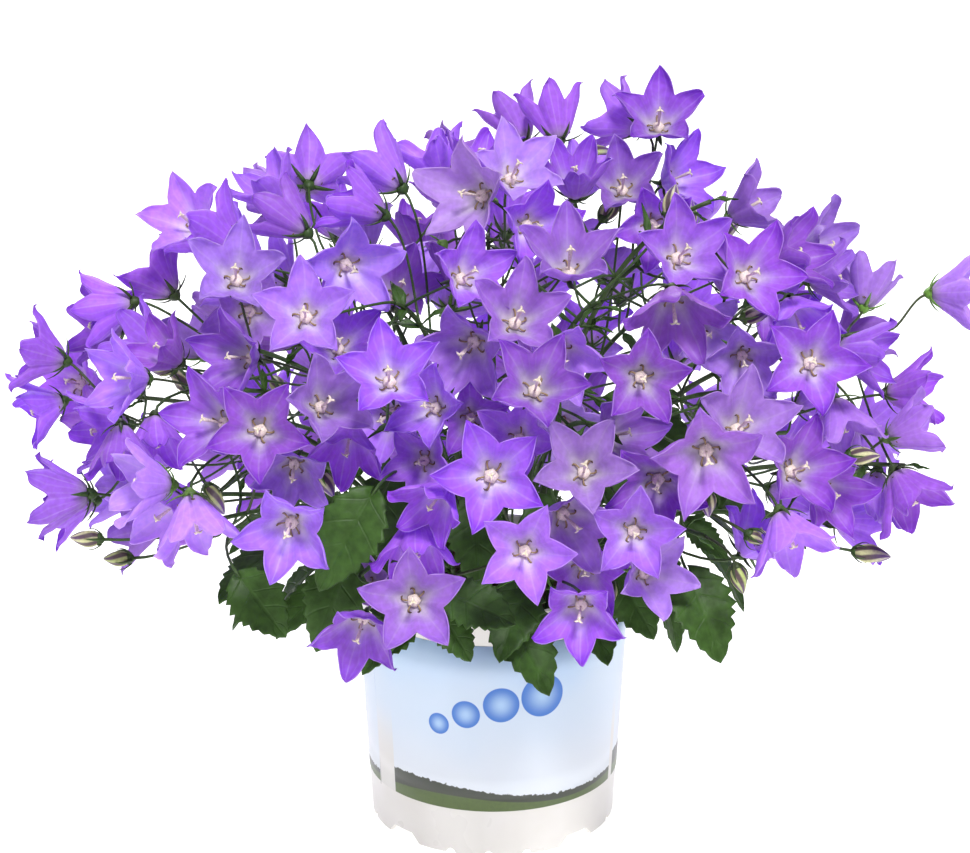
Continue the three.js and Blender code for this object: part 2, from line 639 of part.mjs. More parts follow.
// A stem with everything that grows from it, as one closed solid
function stemGeometry(stem, grownParts) {
  const solid = newSolid();
  const rings = stem.rings.map((ring) => addRing(solid, ring));
  const grown = new Map(grownParts.map((part) => [part.spring.key, part]));
  const closeFace = (key, face) => {
    const part = grown.get(key);
    if (part) part.grow(solid, face, part);
    else capEnd(solid, face);
  };
  capStart(solid, rings[0]);
  for (let k = 0; k + 1 < rings.length; k += 1) {
    for (let j = 0; j < 4; j += 1) {
      const next = (j + 1) % 4;
      closeFace(`${k} ${j}`, [rings[k][j], rings[k][next], rings[k + 1][next], rings[k + 1][j]]);
    }
  }
  closeFace("end", rings[rings.length - 1]);
  return toGeometry(solid);
}

// What a stalk costs: long, bent and crowded ones are worse
function stalkCost({ length, straightness, leaving, crowd }) {
  const { length: each, straightness: straight, leaving: square, crowd: crowded } = stalkWeights;
  return length * (each - straight * straightness - square * leaving) + crowded * crowd;
}

const random = makeRandom(20);
const numbered = (name, k) => `${name}_${String(k + 1).padStart(2, "0")}`;
const stems = [
  ...sprays.map((spray, k) => ({ name: numbered("spray", k), firstRing: 3, ...stemPath(spray) })),
  ...tufts.map((tuft, k) => ({ name: numbered("leaf_tuft", k), firstRing: 2, ...tuftPath(tuft) })),
];
const parts = new Map(stems.map(({ name }) => [name, []]));
stems.forEach((stem) => place(stemBalls(stem), `stem of ${stem.name}`));
const springs = stems.flatMap(stemSprings);
const spraySprings = springs.filter(({ owner }) => owner.startsWith("spray"));
const tuftSprings = springs.filter(({ owner }) => owner.startsWith("leaf"));

// Find the stem face that a bell, bud or leaf can reach by a clear straight stalk
function findSpring(choice, end, forward, own, straightest) {
  const reachable = [];
  choice.filter(({ taken }) => !taken).forEach((spring) => {
    const gap = end.clone().sub(spring.point);
    const length = gap.length();
    const straightness = gap.dot(forward) / length;
    const leaving = gap.dot(spring.normal) / length;
    const fits = length > stalkLength[0] && length < stalkLength[1];
    if (fits && straightness > straightest && leaving > leavingLeast) {
      const crowd = parts.get(spring.owner).length;
      reachable.push({ spring, cost: stalkCost({ length, straightness, leaving, crowd }) });
    }
  });
  reachable.sort((a, b) => a.cost - b.cost);
  for (const { spring } of reachable.slice(0, springsTried)) {
    const balls = ballsAlong(end, spring.point, 1, 3).slice(1);
    const ownRoot = ({ owner, centre }) => (
      owner === `stem of ${spring.owner}` && centre.distanceTo(spring.point) < rootReach
    );
    if (apart(balls.slice(1), own) && isClear(balls, ownRoot)) return { spring, balls };
  }
  return null;
}

// Add a part to the plant if there is room for it and for a stalk to it
function tryPart(part, balls, choice, forward, straightest) {
  if (!isClear(balls)) return false;
  const found = findSpring(choice, part.base, forward, balls.slice(1), straightest);
  if (!found) return false;
  found.spring.taken = true;
  place([...balls, ...found.balls], found.spring.owner);
  parts.get(found.spring.owner).push({ ...part, spring: found.spring });
  counts[part.kind] += 1;
  return true;
}

function tryBell(base, axis, turn, open, size) {
  const bell = { kind: "bell", base, axis, turn, open, size, grow: growBell };
  return tryPart(bell, bellBalls(bell), spraySprings, axis, straightest.bell);
}

function tryBud(base, axis, length) {
  const bud = { kind: "bud", base, axis, length, grow: growBud };
  return tryPart(bud, budBalls(bud), spraySprings, axis, straightest.bell);
}

function tryLeaf(base, way, face, length, width, choice) {
  const level = along(face, way, -face.dot(way)).normalize();
  const leaf = { kind: "leaf", base, way, face: level, length, width, grow: growLeaf };
  return tryPart(leaf, leafBalls(leaf), choice, way, straightest.leaf);
}

// Slide a part in from the dome's surface along the line of sight until it finds room
function slideIn(right, up, depth, attempt) {
  let start = slideFrom;
  while (start > slideStop && !insideDome(shownPoint(right, up, start))) start -= slideSteps.seek;
  if (start <= slideStop) start = 0;
  for (let slid = 0; slid <= depth; slid += slideSteps.slide) {
    if (attempt(shownPoint(right, up, start - slid))) return;
  }
}

[...outlyingBells, ...shownBells].forEach(([right, up, toRight, toTop, toNear, turn, open, size]) => {
  const axis = shownWay(toRight, toTop, toNear);
  slideIn(right, up, slideDepth.bell, (base) => tryBell(base, axis, turn, open, size));
});
shownBuds.forEach(([right, up, toRight, toTop, toNear, length]) => {
  const axis = shownWay(toRight, toTop, toNear);
  slideIn(right, up, slideDepth.bud, (base) => tryBud(base, axis, length));
});
shownLeaves.forEach(([right, up, toRight, toTop, toNear, faceRight, faceTop, faceNear, length, width]) => {
  const way = shownWay(toRight, toTop, toNear);
  const face = shownWay(faceRight, faceTop, faceNear);
  slideIn(right, up, slideDepth.leaf, (base) => tryLeaf(base, way, face, length, width, springs));
});

// A place in the dome: bearing, height share from -1 to 1, and depth share of the surface
function domePoint(bearing, height, depth) {
  const flat = Math.sqrt(1 - height * height) * depth;
  const high = height > 0 ? domeHigh : domeLow;
  const [x, y] = [Math.cos(bearing) * flat * domeAcross, Math.sin(bearing) * flat * domeThrough];
  return new THREE.Vector3(x, y, domeMiddle + height * depth * high);
}

function aboveFillFloor(base, axis) {
  const middle = along(base, axis, fillFloor.middle).sub(shown.middle);
  return middle.dot(shown.near) < fillFloor.near || middle.dot(shown.up) > fillFloor.up;
}

// The rest of the bells fill the dome, facing outwards
for (let attempt = 0; attempt < attempts.bell && counts.bell < bellCount; attempt += 1) {
  const base = domePoint(2 * Math.PI * random(), -0.6 + 1.6 * random(), 1 - 0.32 * random() ** 2);
  const axis = base.clone().sub(shown.middle).normalize();
  axis.add(new THREE.Vector3(random() - 0.5, random() - 0.5, random() - 0.35)).normalize();
  const turn = 72 * random();
  const open = 0.6 + 0.4 * random();
  const size = 0.88 + 0.2 * random();
  if (aboveFillFloor(base, axis)) tryBell(base, axis, turn, open, size);
}

// The rest of the leaves hang over the pot's rim and stand between the lower sprays
for (let attempt = 0; attempt < attempts.leaf && counts.leaf < leafCount; attempt += 1) {
  const bearing = 2 * Math.PI * random();
  const out = new THREE.Vector3(Math.cos(bearing), Math.sin(bearing), 0);
  const base = out.clone().multiplyScalar(62 + 40 * random());
  base.z = 124 + 45 * random();
  const stray = new THREE.Vector3(random() - 0.5, random() - 0.5, -0.9 * random());
  const way = out.clone().add(stray).normalize();
  const face = new THREE.Vector3(0.4 * out.x, 0.4 * out.y, 1);
  const length = 32 + 12 * random();
  tryLeaf(base, way, face, length, 0.72 * length, tuftSprings);
}

// And a few more buds stand among the bells
for (let attempt = 0; attempt < attempts.bud && counts.bud < budCount; attempt += 1) {
  const base = domePoint(2 * Math.PI * random(), -0.4 + 1.4 * random(), 1.04 - 0.2 * random());
  const axis = base.clone().sub(shown.middle).normalize();
  axis.add(new THREE.Vector3(random() - 0.5, random() - 0.5, random() - 0.5)).normalize();
  tryBud(base, axis, 11 + 7 * random());
}

// The pot: turned profile, then gaps and nicks cut in the foot ring and drain holes in the floor
function potGeometry() {
  const footInside = potFootRadius - footRingWall;
  const floorTop = floorUnderside + floorThickness;
  const slope = (potTopRadius - potFootRadius) / potHeight;
  const outsideAt = (height) => potFootRadius + slope * height;
  const profile = [
    [0, floorUnderside], [footInside, floorUnderside], [footInside, 0], [potFootRadius, 0],
    [outsideAt(potHeight - rimDepth), potHeight - rimDepth],
    [potTopRadius + rimOverhang, potHeight - rimDepth], [potTopRadius + rimOverhang, potHeight - 1],
    [potTopRadius + rimOverhang - 1, potHeight], [potTopRadius - potWall, potHeight],
    [outsideAt(floorTop) - potWall, floorTop], [0, floorTop],
  ].map(([radius, height]) => new THREE.Vector2(radius, height));
  let pot = toManifold(new THREE.LatheGeometry(profile, potSides).rotateX(Math.PI / 2));
  const cutLength = 2 * footRingWall + cutAllowance;
  const gap = new THREE.BoxGeometry(cutLength, footGapWidth, 2 * footGapHeight);
  const nick = new THREE.CylinderGeometry(nickRadius, nickRadius, cutLength, 6);
  nick.rotateZ(Math.PI / 2);
  const drain = new THREE.CylinderGeometry(drainRadius, drainRadius, 4 * floorThickness, 6);
  drain.rotateX(Math.PI / 2);
  const cut = (tool, bearing, distance, height) => {
    const turned = tool.clone().translate(distance, 0, height).rotateZ(radians(bearing));
    pot = pot.subtract(toManifold(turned));
  };
  for (let k = 0; k < footCount; k += 1) {
    const bearing = footGapBearing + (360 / footCount) * k;
    cut(gap, bearing, potFootRadius - footRingWall / 2, 0);
    nickTurns.forEach((turn) => cut(nick, bearing + turn, potFootRadius - footRingWall / 2, 0));
    cut(drain, bearing + drainTurn, drainCircle, floorUnderside + floorThickness / 2);
  }
  return fromManifold(pot);
}

function soilGeometry() {
  const slope = (potTopRadius - potFootRadius) / potHeight;
  const insideAt = (height) => potFootRadius + slope * height - potWall - fitGap;
  const bottom = floorUnderside + floorThickness + fitGap;
  const profile = [
    [0, bottom], [insideAt(bottom) - fitGap, bottom], [insideAt(soilTop), soilTop], [0, soilTop],
  ].map(([radius, height]) => new THREE.Vector2(radius, height));
  let soil = toManifold(new THREE.LatheGeometry(profile, soilSides).rotateX(Math.PI / 2));
  const size = stemRadius[0] + fitGap + stemHoleSlack;
  const holeLength = stemHoleDepth + stemHoleOver;
  const hole = new THREE.CylinderGeometry(size, size, holeLength, 4);
  hole.rotateX(Math.PI / 2);
  stems.forEach(({ out, curve }) => {
    const foot = curve.getPoint(0);
    const tool = hole.clone().rotateZ(Math.atan2(out.y, out.x));
    tool.translate(foot.x, foot.y, soilTop - stemHoleDepth + holeLength / 2);
    soil = soil.subtract(toManifold(tool));
  });
  return fromManifold(soil);
}

const plant = new THREE.Group();

function addMesh(name, geometry, color, roughness) {
  const mesh = new THREE.Mesh(geometry, new THREE.MeshStandardMaterial({ color, roughness, metalness: 0 }));
  mesh.name = name;
  plant.add(mesh);
}

addMesh("pot", potGeometry(), colours.pot, 0.45);
addMesh("soil", soilGeometry(), colours.soil, 0.95);
stems.forEach((stem) => {
  const color = stem.name.startsWith("spray") ? colours.bells : colours.leaves;
  addMesh(stem.name, stemGeometry(stem, parts.get(stem.name)), color, 0.6);
});

export default plant;
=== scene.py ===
# A potted bellflower in full bloom: petals, stamens, buds, leaves, soil and pot over the frame.
# Lengths are millimetres until makePiece turns them into metres.
import math

import bpy
import numpy as np
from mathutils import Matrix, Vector


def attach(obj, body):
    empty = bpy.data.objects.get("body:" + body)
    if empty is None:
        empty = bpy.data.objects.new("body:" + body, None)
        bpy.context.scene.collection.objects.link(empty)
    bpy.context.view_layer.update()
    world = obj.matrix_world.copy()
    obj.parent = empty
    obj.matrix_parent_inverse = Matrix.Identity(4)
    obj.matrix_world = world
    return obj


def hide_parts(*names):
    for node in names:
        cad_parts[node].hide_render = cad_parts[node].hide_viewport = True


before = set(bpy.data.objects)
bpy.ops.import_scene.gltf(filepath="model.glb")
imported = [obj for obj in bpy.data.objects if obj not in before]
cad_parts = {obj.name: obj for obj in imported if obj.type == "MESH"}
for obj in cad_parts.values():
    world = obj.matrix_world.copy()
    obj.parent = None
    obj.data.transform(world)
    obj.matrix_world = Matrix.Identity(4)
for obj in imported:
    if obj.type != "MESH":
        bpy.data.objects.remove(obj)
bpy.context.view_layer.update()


print("stage: frame loaded")

picture = {
    "middle": np.array([0.0, 0.0, 150.0]),  # what the flowers' places are measured from
    "rise": math.radians(20),
    "distance": 1250.0,
    "aim": (-3.7, 29.9),  # right and up of the middle, at the photograph's centre
    "width": 970 * 0.4426,  # the frame's width in the plane through the middle
    "sensor": 36.0,
}
shownRight = np.array([1.0, 0.0, 0.0])
shownUp = np.array([0.0, math.sin(picture["rise"]), math.cos(picture["rise"])])
shownNear = np.array([0.0, -math.cos(picture["rise"]), math.sin(picture["rise"])])


def makeCamera():
    data = bpy.data.cameras.new("photoCamera")
    data.sensor_width = picture["sensor"]
    data.lens = picture["sensor"] * picture["distance"] / picture["width"]
    camera = bpy.data.objects.new("photoCamera", data)
    bpy.context.scene.collection.objects.link(camera)
    place = picture["middle"] + shownNear * picture["distance"]
    aim = picture["middle"] + shownRight * picture["aim"][0] + shownUp * picture["aim"][1]
    camera.location = Vector(place / 1000)
    camera.rotation_euler = Vector((aim - place) / 1000).to_track_quat("-Z", "Y").to_euler()
    bpy.context.scene.camera = camera


makeCamera()

# Where everything grows: the same rules as in the part's own source, so each fine piece lies over
# its solid

pot = {
    "height": 118.0, "topRadius": 61.0, "footRadius": 55.0, "wall": 1.4, "rimOverhang": 1.0,
    "rimDepth": 5.0, "footRing": 2.6, "floorUnderside": 6.5, "floorThickness": 1.5,
    "feet": 4, "gapTop": 11.5, "gapFoot": 20.0, "gapHeight": 4.6, "gapBearing": -137.0,
    "nickRadius": 2.2, "nicksAt": (27.0, 45.0, 63.0), "drainAt": 45.0, "drainRadius": 4.0,
    "drainCircle": 30.0, "rimRoom": 5.0,
}
soil = {"top": 107.0, "fitGap": 0.4, "stemDepth": 12.0, "rings": 46, "sides": 150, "relief": 1.3,
        "crumbs": 520, "crumbSides": 5}
dome = {"across": 182.0, "through": 152.0, "high": 148.0, "low": 46.0}
growth = {
    "stemRadius": (1.45, 1.15), "stemSteps": 7, "tuftSteps": 3, "stemShoulder": 3.0,
    "rootLift": 1.1, "stalkLength": (12.0, 85.0), "clearance": 0.8, "springsTried": 16,
    "rootReach": 6.0, "straightestBell": 0.35, "straightestLeaf": 0.5, "leaving": 0.5,
    "slideBell": 120, "slideBud": 60, "slideLeaf": 120, "slideFrom": 210, "slideStop": -60,
    "bells": 180, "buds": 22, "leaves": 44, "seed": 20,
    "bellTries": 6000, "budTries": 1500, "leafTries": 4000,
    "fillMiddle": 15.0, "fillNear": -60.0, "fillUp": -18.0,
}

sprays = [(-83 + k * 27.7, 4 + 5 * (k % 2), 0.84) for k in range(13)]
sprays += [(-70 + k * 40, 33, 0.8) for k in range(9)]
sprays += [(-52 + k * 72, 60, 0.8) for k in range(5)]
sprays += [(-12, 61, 1.06), (2, 28, 1.07), (-9, 8.5, 1.0), (176, 17, 0.98)]
tufts = [(-108 + k * 36, 50) for k in range(10)]

# Bells that show best: right and up of the middle, the way they face (right, up, near), the turn
# of one lobe, how wide they are open, and their size
shownBells = [
    (-83, 78, 0, 0.15, 1, 90, 1, 1), (-103, 28, 0, 0, 1, 271, 1, 1), (-35, -47, 0, 0, 1, 97, 1, 1),
    (14, -25, 0, -0.05, 1, 68, 0.95, 0.95), (-1, 8, 0, 0, 1, 40, 1, 1.1),
    (18, 45, 0.1, 0.3, 1, 60, 0.95, 1), (9, 75, 0.2, 0.35, 1, 78, 0.95, 1),
    (-46, 49, 0, 0.35, 1, 100, 1, 1), (140, 58, 0, 0, 1, 67, 1, 1.05), (111, 96, 0.3, 0.1, 1, 60, 1, 1),
    (81, 104, 0.25, 0.25, 1, 95, 1, 1.05), (94, 20, 0, -0.35, 1, 100, 1, 1.1),
    (107, 28, 0.3, 0.3, 1, 78, 1, 1.05), (73, 7, -0.1, -0.3, 1, 60, 1, 1),
    (-114, 94, 0.05, 0.35, 1, 80, 1, 1), (-108, 81, 0, -0.15, 1, 270, 0.95, 1),
    (-89, -12, -0.1, -0.4, 1, 110, 0.95, 1), (-88, 14, 0, -0.5, 0.8, 250, 0.8, 0.9),
    (-118, 31, -0.55, 0.1, 0.8, 115, 1, 1), (-131, 117, -0.4, 0.35, 0.8, 120, 0.95, 1),
    (-66, 102, 0.3, -0.25, 0.9, 90, 1, 1.05), (-15, 95, 0.45, 0.2, 0.9, 80, 0.9, 0.95),
    (-4, 132, -0.55, 0, 0.8, 170, 1, 1.1), (-8, 68, -0.35, -0.4, 0.8, 30, 1, 1.05),
    (-77, 38, 0.35, 0.2, 0.9, 100, 0.9, 0.95), (-44, 36, -0.35, -0.25, 0.9, 200, 0.9, 1),
    (-25, 38, -0.35, 0.05, 0.9, 80, 0.85, 0.9), (-10, 34, 0, -0.1, 1, 20, 0.8, 0.85),
    (-30, 15, -0.2, -0.1, 1, 200, 0.8, 0.85), (-21, 3, -0.45, -0.6, 0.6, 0, 0.75, 0.9),
    (-34, -12, 0, -0.9, 0.4, 90, 0.7, 1), (-57, -54, -0.15, -0.6, 0.7, 180, 0.9, 0.95),
    (-53, -41, -0.3, 0.2, 0.9, 90, 0.6, 0.75), (40, 9, 0, 0.25, 1, 60, 0.95, 1),
    (32, 31, 0.1, -0.35, 0.9, 20, 0.95, 1), (30, -8, 0.4, -0.4, 0.8, 0, 0.95, 1.05),
    (62, -16, 0, -0.1, 1, 10, 0.9, 0.95), (40, -31, 0, -0.25, 1, 90, 0.9, 1),
    (39, -48, -0.1, -0.45, 0.9, 200, 0.9, 0.95), (66, -35, 0.35, 0, 0.9, 50, 0.9, 0.9),
    (127, -8, 0.3, -0.85, 0.3, 0, 0.85, 1), (131, 10, 0.35, 0.15, 0.9, 70, 0.95, 1),
    (143, 4, 0.5, -0.3, 0.8, 0, 0.9, 0.95), (79, 90, 0.05, -0.8, 0.6, 90, 0.9, 1.1),
    (65, 52, 0.05, -0.1, 1, 300, 0.9, 0.95), (33, 97, 0.05, 0.6, 0.8, 90, 0.9, 1.05),
    (14, 119, 0.4, -0.1, 0.9, 10, 0.85, 0.95), (7, 139, 0.25, 0.4, 0.9, 100, 0.95, 1),
    (29, 157, -0.2, 0.9, -0.3, 0, 0.5, 1), (14, 157, -0.4, 0.85, -0.2, 40, 0.5, 0.95),
    (36, 132, 0, 0.75, 0.6, 60, 0.6, 0.95), (76, 138, 0.6, 0.2, 0.6, 60, 0.9, 1),
    (105, 123, 0.6, 0.3, 0.3, 60, 0.8, 1), (70, 120, 0.1, -0.2, 0.9, 40, 0.9, 0.95),
    (57, 134, 0, 0.3, 0.8, 100, 0.9, 0.95), (137, 108, 0.75, 0.1, 0.5, 80, 0.95, 1.05),
    (131, 86, 0.2, -0.6, 0.4, 0, 0.9, 1), (153, 64, 0.85, -0.15, 0.3, 90, 0.6, 1),
    (151, 42, 0.2, -0.7, 0.2, 0, 0.8, 0.95), (163, 31, 0.1, -0.9, -0.2, 30, 0.6, 0.9),
    (110, 62, 0, -0.35, 0.9, 100, 0.9, 0.9), (-160, 85, -0.9, -0.15, -0.3, 90, 0.7, 1),
    (-165, 73, -0.8, 0.05, 0.4, 90, 0.8, 1), (-190, 59, -0.85, 0.25, 0.1, 90, 0.95, 1),
    (-182, 48, -0.35, 0.1, 0.9, 150, 0.95, 1), (-191, 41, -0.8, -0.3, 0.2, 40, 0.9, 0.95),
    (-154, 51, -0.75, 0, 0.6, 90, 0.9, 1), (-152, 71, 0.1, -0.8, -0.3, 0, 0.6, 0.9),
    (-178, 37, -0.3, -0.85, 0.2, 0, 0.8, 0.95), (-165, 30, 0.1, -0.9, 0.2, 50, 0.7, 0.9),
    (-150, 34, 0.1, -0.85, 0.3, 20, 0.7, 0.9), (-143, 4, -0.85, 0.05, 0.4, 90, 0.75, 1),
    (-138, -3, -0.6, -0.5, 0.6, 0, 0.9, 1), (-134, -1, 0.2, -0.9, 0.2, 0, 0.8, 1),
    (-82, 137, 0, 0.45, -0.85, 90, 0.95, 1), (-89, 133, -0.85, 0, -0.1, 60, 0.7, 0.9),
    (-83, 116, -0.7, 0.55, -0.3, 30, 0.6, 0.95), (-49, 124, -0.75, 0.35, 0.1, 60, 0.6, 1),
    (-41, 136, -0.65, 0.65, -0.3, 20, 0.6, 1), (-43, 86, 0.2, 0.45, 0.8, 60, 0.9, 0.95),
    (-23, 139, -0.3, 0.75, 0.2, 30, 0.7, 0.95), (-6, 137, 0.05, 0.85, 0.2, 0, 0.7, 1),
    (-23, 110, -0.6, -0.5, -0.3, 0, 0.6, 0.95), (-106, 60, -0.6, 0, 0.7, 100, 0.9, 1),
    (-69, 64, 0.1, 0.2, 0.9, 30, 0.9, 1), (-63, 30, -0.1, -0.75, 0.5, 40, 0.8, 0.95),
    (-63, 114, 0.2, -0.5, 0.6, 60, 0.8, 0.9), (49, 25, 0.5, 0.1, 0.6, 60, 0.9, 1),
    (46, 73, 0.3, 0.1, 0.8, 30, 0.9, 1), (29, 66, 0.1, -0.4, 0.7, 0, 0.8, 0.95),
    (90, 73, 0.3, -0.2, 0.8, 60, 0.8, 0.9), (121, 86, 0.2, -0.3, 0.7, 100, 0.8, 0.9),
]

outlyingBells = [
    (73, 162, 0, 0.45, 0.9, 90, 1, 1), (83, 160, 0.85, 0.05, 0.1, 80, 1, 1.05),
    (65, 163, -0.75, 0.35, -0.3, 60, 0.9, 1), (164, 83, 0.2, 0.85, -0.3, 0, 0.6, 0.9),
    (194, 89, 0.9, 0, 0.1, 90, 0.9, 1), (182, 78, 0.35, -0.8, -0.1, 0, 0.6, 0.95),
    (175, 25, 0.8, 0.3, 0.1, 60, 0.6, 0.9), (178, 10, 0.45, -0.8, 0.3, 0, 0.8, 1.05),
    (170, 10, -0.25, -0.95, 0, 40, 0.6, 0.9),
]

# Buds that show: place, the way they point, and length
shownBuds = [
    (38, 151, 1, -0.05, 0.1, 18), (77, 123, 0.25, 0.95, 0.2, 14), (-127, 4, 0.5, -0.8, 0.2, 15),
    (-76, 10, 0.4, -0.85, 0.2, 12), (156, 17, 1, 0, 0.1, 14), (164, 24, -1, 0.3, 0, 11),
    (-40, -11, 0.8, 0.55, 0.2, 17), (107, -31, 0.25, -0.95, 0.1, 12), (112, -17, 0.8, -0.5, 0.1, 8),
    (56, 95, -1, -0.15, 0.2, 18), (110, 78, 1, 0.2, 0.2, 12), (52, -38, -0.2, -1, 0.2, 13),
    (92, 39, 1, 0.2, 0.1, 14), (95, 2, 0, -1, 0.1, 11),
]

# Leaves that show: place of the foot, the way they point, the way their upper face looks,
# length and width
shownLeaves = [
    (86, -59, -1, -0.12, 0.15, 0, 0.5, 1, 43, 30), (86, -35, 0.35, -0.8, 0.3, 0.2, 0.4, 1, 38, 30),
    (-112, -37, 0.6, -0.75, 0.2, -0.2, 0.4, 1, 30, 26), (-64, -30, -0.35, -0.9, 0.2, 0, 0.4, 1, 38, 28),
    (-19, -45, 0.9, -0.3, 0.3, 0, 0.5, 1, 28, 25), (-23, -53, 0.55, -0.8, 0.2, 0, 0.4, 1, 22, 18),
    (-6, -38, 0.9, -0.15, 0.3, 0, 0.8, 0.8, 36, 28), (51, 40, 0.9, -0.4, 0.2, 0, 0.4, 1, 42, 30),
    (-8, -2, 0.05, -1, 0.3, 0, 0.3, 1, 38, 28), (-54, -1, -0.5, -0.85, 0.2, 0, 0.3, 1, 42, 30),
    (-117, 3, 0.95, -0.2, 0.2, 0, 0.6, 0.8, 32, 20), (-41, 12, -0.3, -0.9, 0.2, 0, 0.3, 1, 34, 26),
    (55, -36, 0.5, -0.8, 0.2, 0, 0.4, 1, 30, 24), (86, -12, 0.75, -0.65, 0.2, 0, 0.5, 0.9, 24, 14),
    (20, -3, 0.3, -0.9, 0.2, 0, 0.3, 1, 34, 26), (58, 10, 0.2, -0.9, 0.2, 0.1, 0.3, 1, 34, 26),
]


def unit(vector):
    return vector / np.linalg.norm(vector, axis=-1, keepdims=True)


def outward(bearing):
    return np.array([math.cos(bearing), math.sin(bearing), 0.0])


def makeRandom(seed):
    state = [seed]

    def draw():
        state[0] = (state[0] * 1664525 + 1013904223) % 4294967296
        return state[0] / 4294967296

    return draw


random = makeRandom(growth["seed"])


def shownWay(right, up, near):
    return unit(shownRight * right + shownUp * up + shownNear * near)


def shownPoint(right, up, near):
    place = picture["middle"] + shownRight * right + shownUp * up
    eye = picture["middle"] + shownNear * picture["distance"]
    return place + unit(eye - place) * near


def insideDome(point):
    high = dome["high"] if point[2] > picture["middle"][2] else dome["low"]
    x, y = point[0] / dome["across"], point[1] / dome["through"]
    return math.hypot(x, y, (point[2] - picture["middle"][2]) / high) < 1


def domePoint(bearing, height, depth):
    flat = math.sqrt(1 - height * height) * depth
    high = dome["high"] if height > 0 else dome["low"]
    x = math.cos(bearing) * flat * dome["across"]
    y = math.sin(bearing) * flat * dome["through"]
    return np.array([x, y, picture["middle"][2] + height * depth * high])


# Two directions square to an axis, its right-hand side and its top
def sideways(axis):
    right = np.cross([0.0, 0.0, 1.0], axis)
    if np.linalg.norm(right) < 0.05:
        right = np.array([1.0, 0.0, 0.0])
    right = unit(right)
    return right, unit(np.cross(axis, right))


def allSideways(axes):
    frames = np.array([sideways(axis) for axis in axes])
    return frames[:, 0], frames[:, 1]


def bellOutline(opened, size):
    rows = {
        "notch": (8.5 + 3.3 * opened, 17 - 4 * opened),
        "keel": (11 + 4.2 * opened, 20 - 7.3 * opened),
        "tip": (12 + 9 * opened, 27 - 9.5 * opened),
    }
    return {name: (radius * size, height * size) for name, (radius, height) in rows.items()}


# Balls that a bell fills, its base first
def bellBalls(bell):
    size, base, axis = bell["size"], bell["base"], bell["axis"]
    outline = bellOutline(bell["opened"], size)
    right, top = sideways(axis)

    def ring(name, shift):
        radius, height = outline[name]
        angles = [math.radians(bell["turn"] + 36 * (2 * k - 1 + shift)) for k in range(5)]
        spokes = [right * math.cos(a) + top * math.sin(a) for a in angles]
        return [base + axis * height + spoke * radius for spoke in spokes]

    notches, keels, tips = ring("notch", 0), ring("keel", 1), ring("tip", 1)
    low, inner = base + axis * 3.5 * size, base + axis * 6 * size
    balls = [(base + axis * 2.5 * size, 4.5 * size), (base + axis * 10.5 * size, 7.2 * size)]
    for k in range(5):
        balls.append((notches[k] + (inner - notches[k]) * 0.2, 3 * size))
        for lobe in (k, (k + 4) % 5):
            balls.append((notches[k] + (tips[lobe] - notches[k]) * 0.4, 1.8 * size))
        balls.append((keels[k] + (low - keels[k]) * 0.5, 3 * size))
        balls.append((keels[k], 3.4 * size))
        balls.append((keels[k] + (tips[k] - keels[k]) * 0.5, 2.5 * size))
        balls.append((keels[k] + (tips[k] - keels[k]) * 0.9, 1.4 * size))
    return np.array([centre for centre, _ in balls]), np.array([radius for _, radius in balls])


def budBalls(bud):
    steps = ((0.25, 3.2), (0.6, 3.2), (0.9, 1.6))
    centres = [bud["base"] + bud["axis"] * t * bud["length"] for t, _ in steps]
    return np.array(centres), np.array([radius for _, radius in steps])


leafForm = {"fold": 0.16, "droop": 0.22}


# A leaf's own surface: across runs over its width, up over its length
def leafPoint(leaf, across, up, lift):
    fold = leafForm["fold"] * np.abs(across) - leafForm["droop"] * up * up / leaf["length"]
    right = np.cross(leaf["axis"], leaf["face"])
    across, up, lift = (np.asarray(value)[..., None] for value in (across, up, fold + lift))
    return leaf["base"] + right * across + leaf["axis"] * up + leaf["face"] * lift


def leafHalfWidth(width, t):
    return 0.5 * width * np.sin(np.pi * t ** 0.72) ** 0.8


def leafBalls(leaf):
    rows = math.ceil(leaf["length"] / 5)
    t = 0.04 + 0.92 * np.arange(rows + 1) / rows
    across = leafHalfWidth(leaf["width"], t)[:, None] * np.array([-0.85, -0.42, 0, 0.42, 0.85])
    up = np.broadcast_to((t * leaf["length"])[:, None], across.shape)
    centres = leafPoint(leaf, across, up, 0 * up).reshape(-1, 3)
    return centres, np.full(len(centres), 2.4)


placed = {"centres": np.zeros((20000, 3)), "radii": np.zeros(20000), "owners": np.zeros(20000),
    "count": 0}
stemMark = 100  # a stem's own balls carry its number plus this


def place(centres, radii, owner):
    start = placed["count"]
    stop = start + len(radii)
    placed["centres"][start:stop] = centres
    placed["radii"][start:stop] = radii
    placed["owners"][start:stop] = owner
    placed["count"] = stop


# Beside the pot, above its rim, or above the soil inside it
def clearOfPot(centres, radii):
    out = np.hypot(centres[:, 0], centres[:, 1])
    beside = out > pot["topRadius"] + pot["rimOverhang"] + radii + 1
    above = centres[:, 2] > pot["height"] + radii + 1
    inside = out + radii < pot["topRadius"] - pot["rimRoom"]
    inside &= centres[:, 2] > soil["top"] + radii + 1
    return bool(np.all(beside | above | inside))


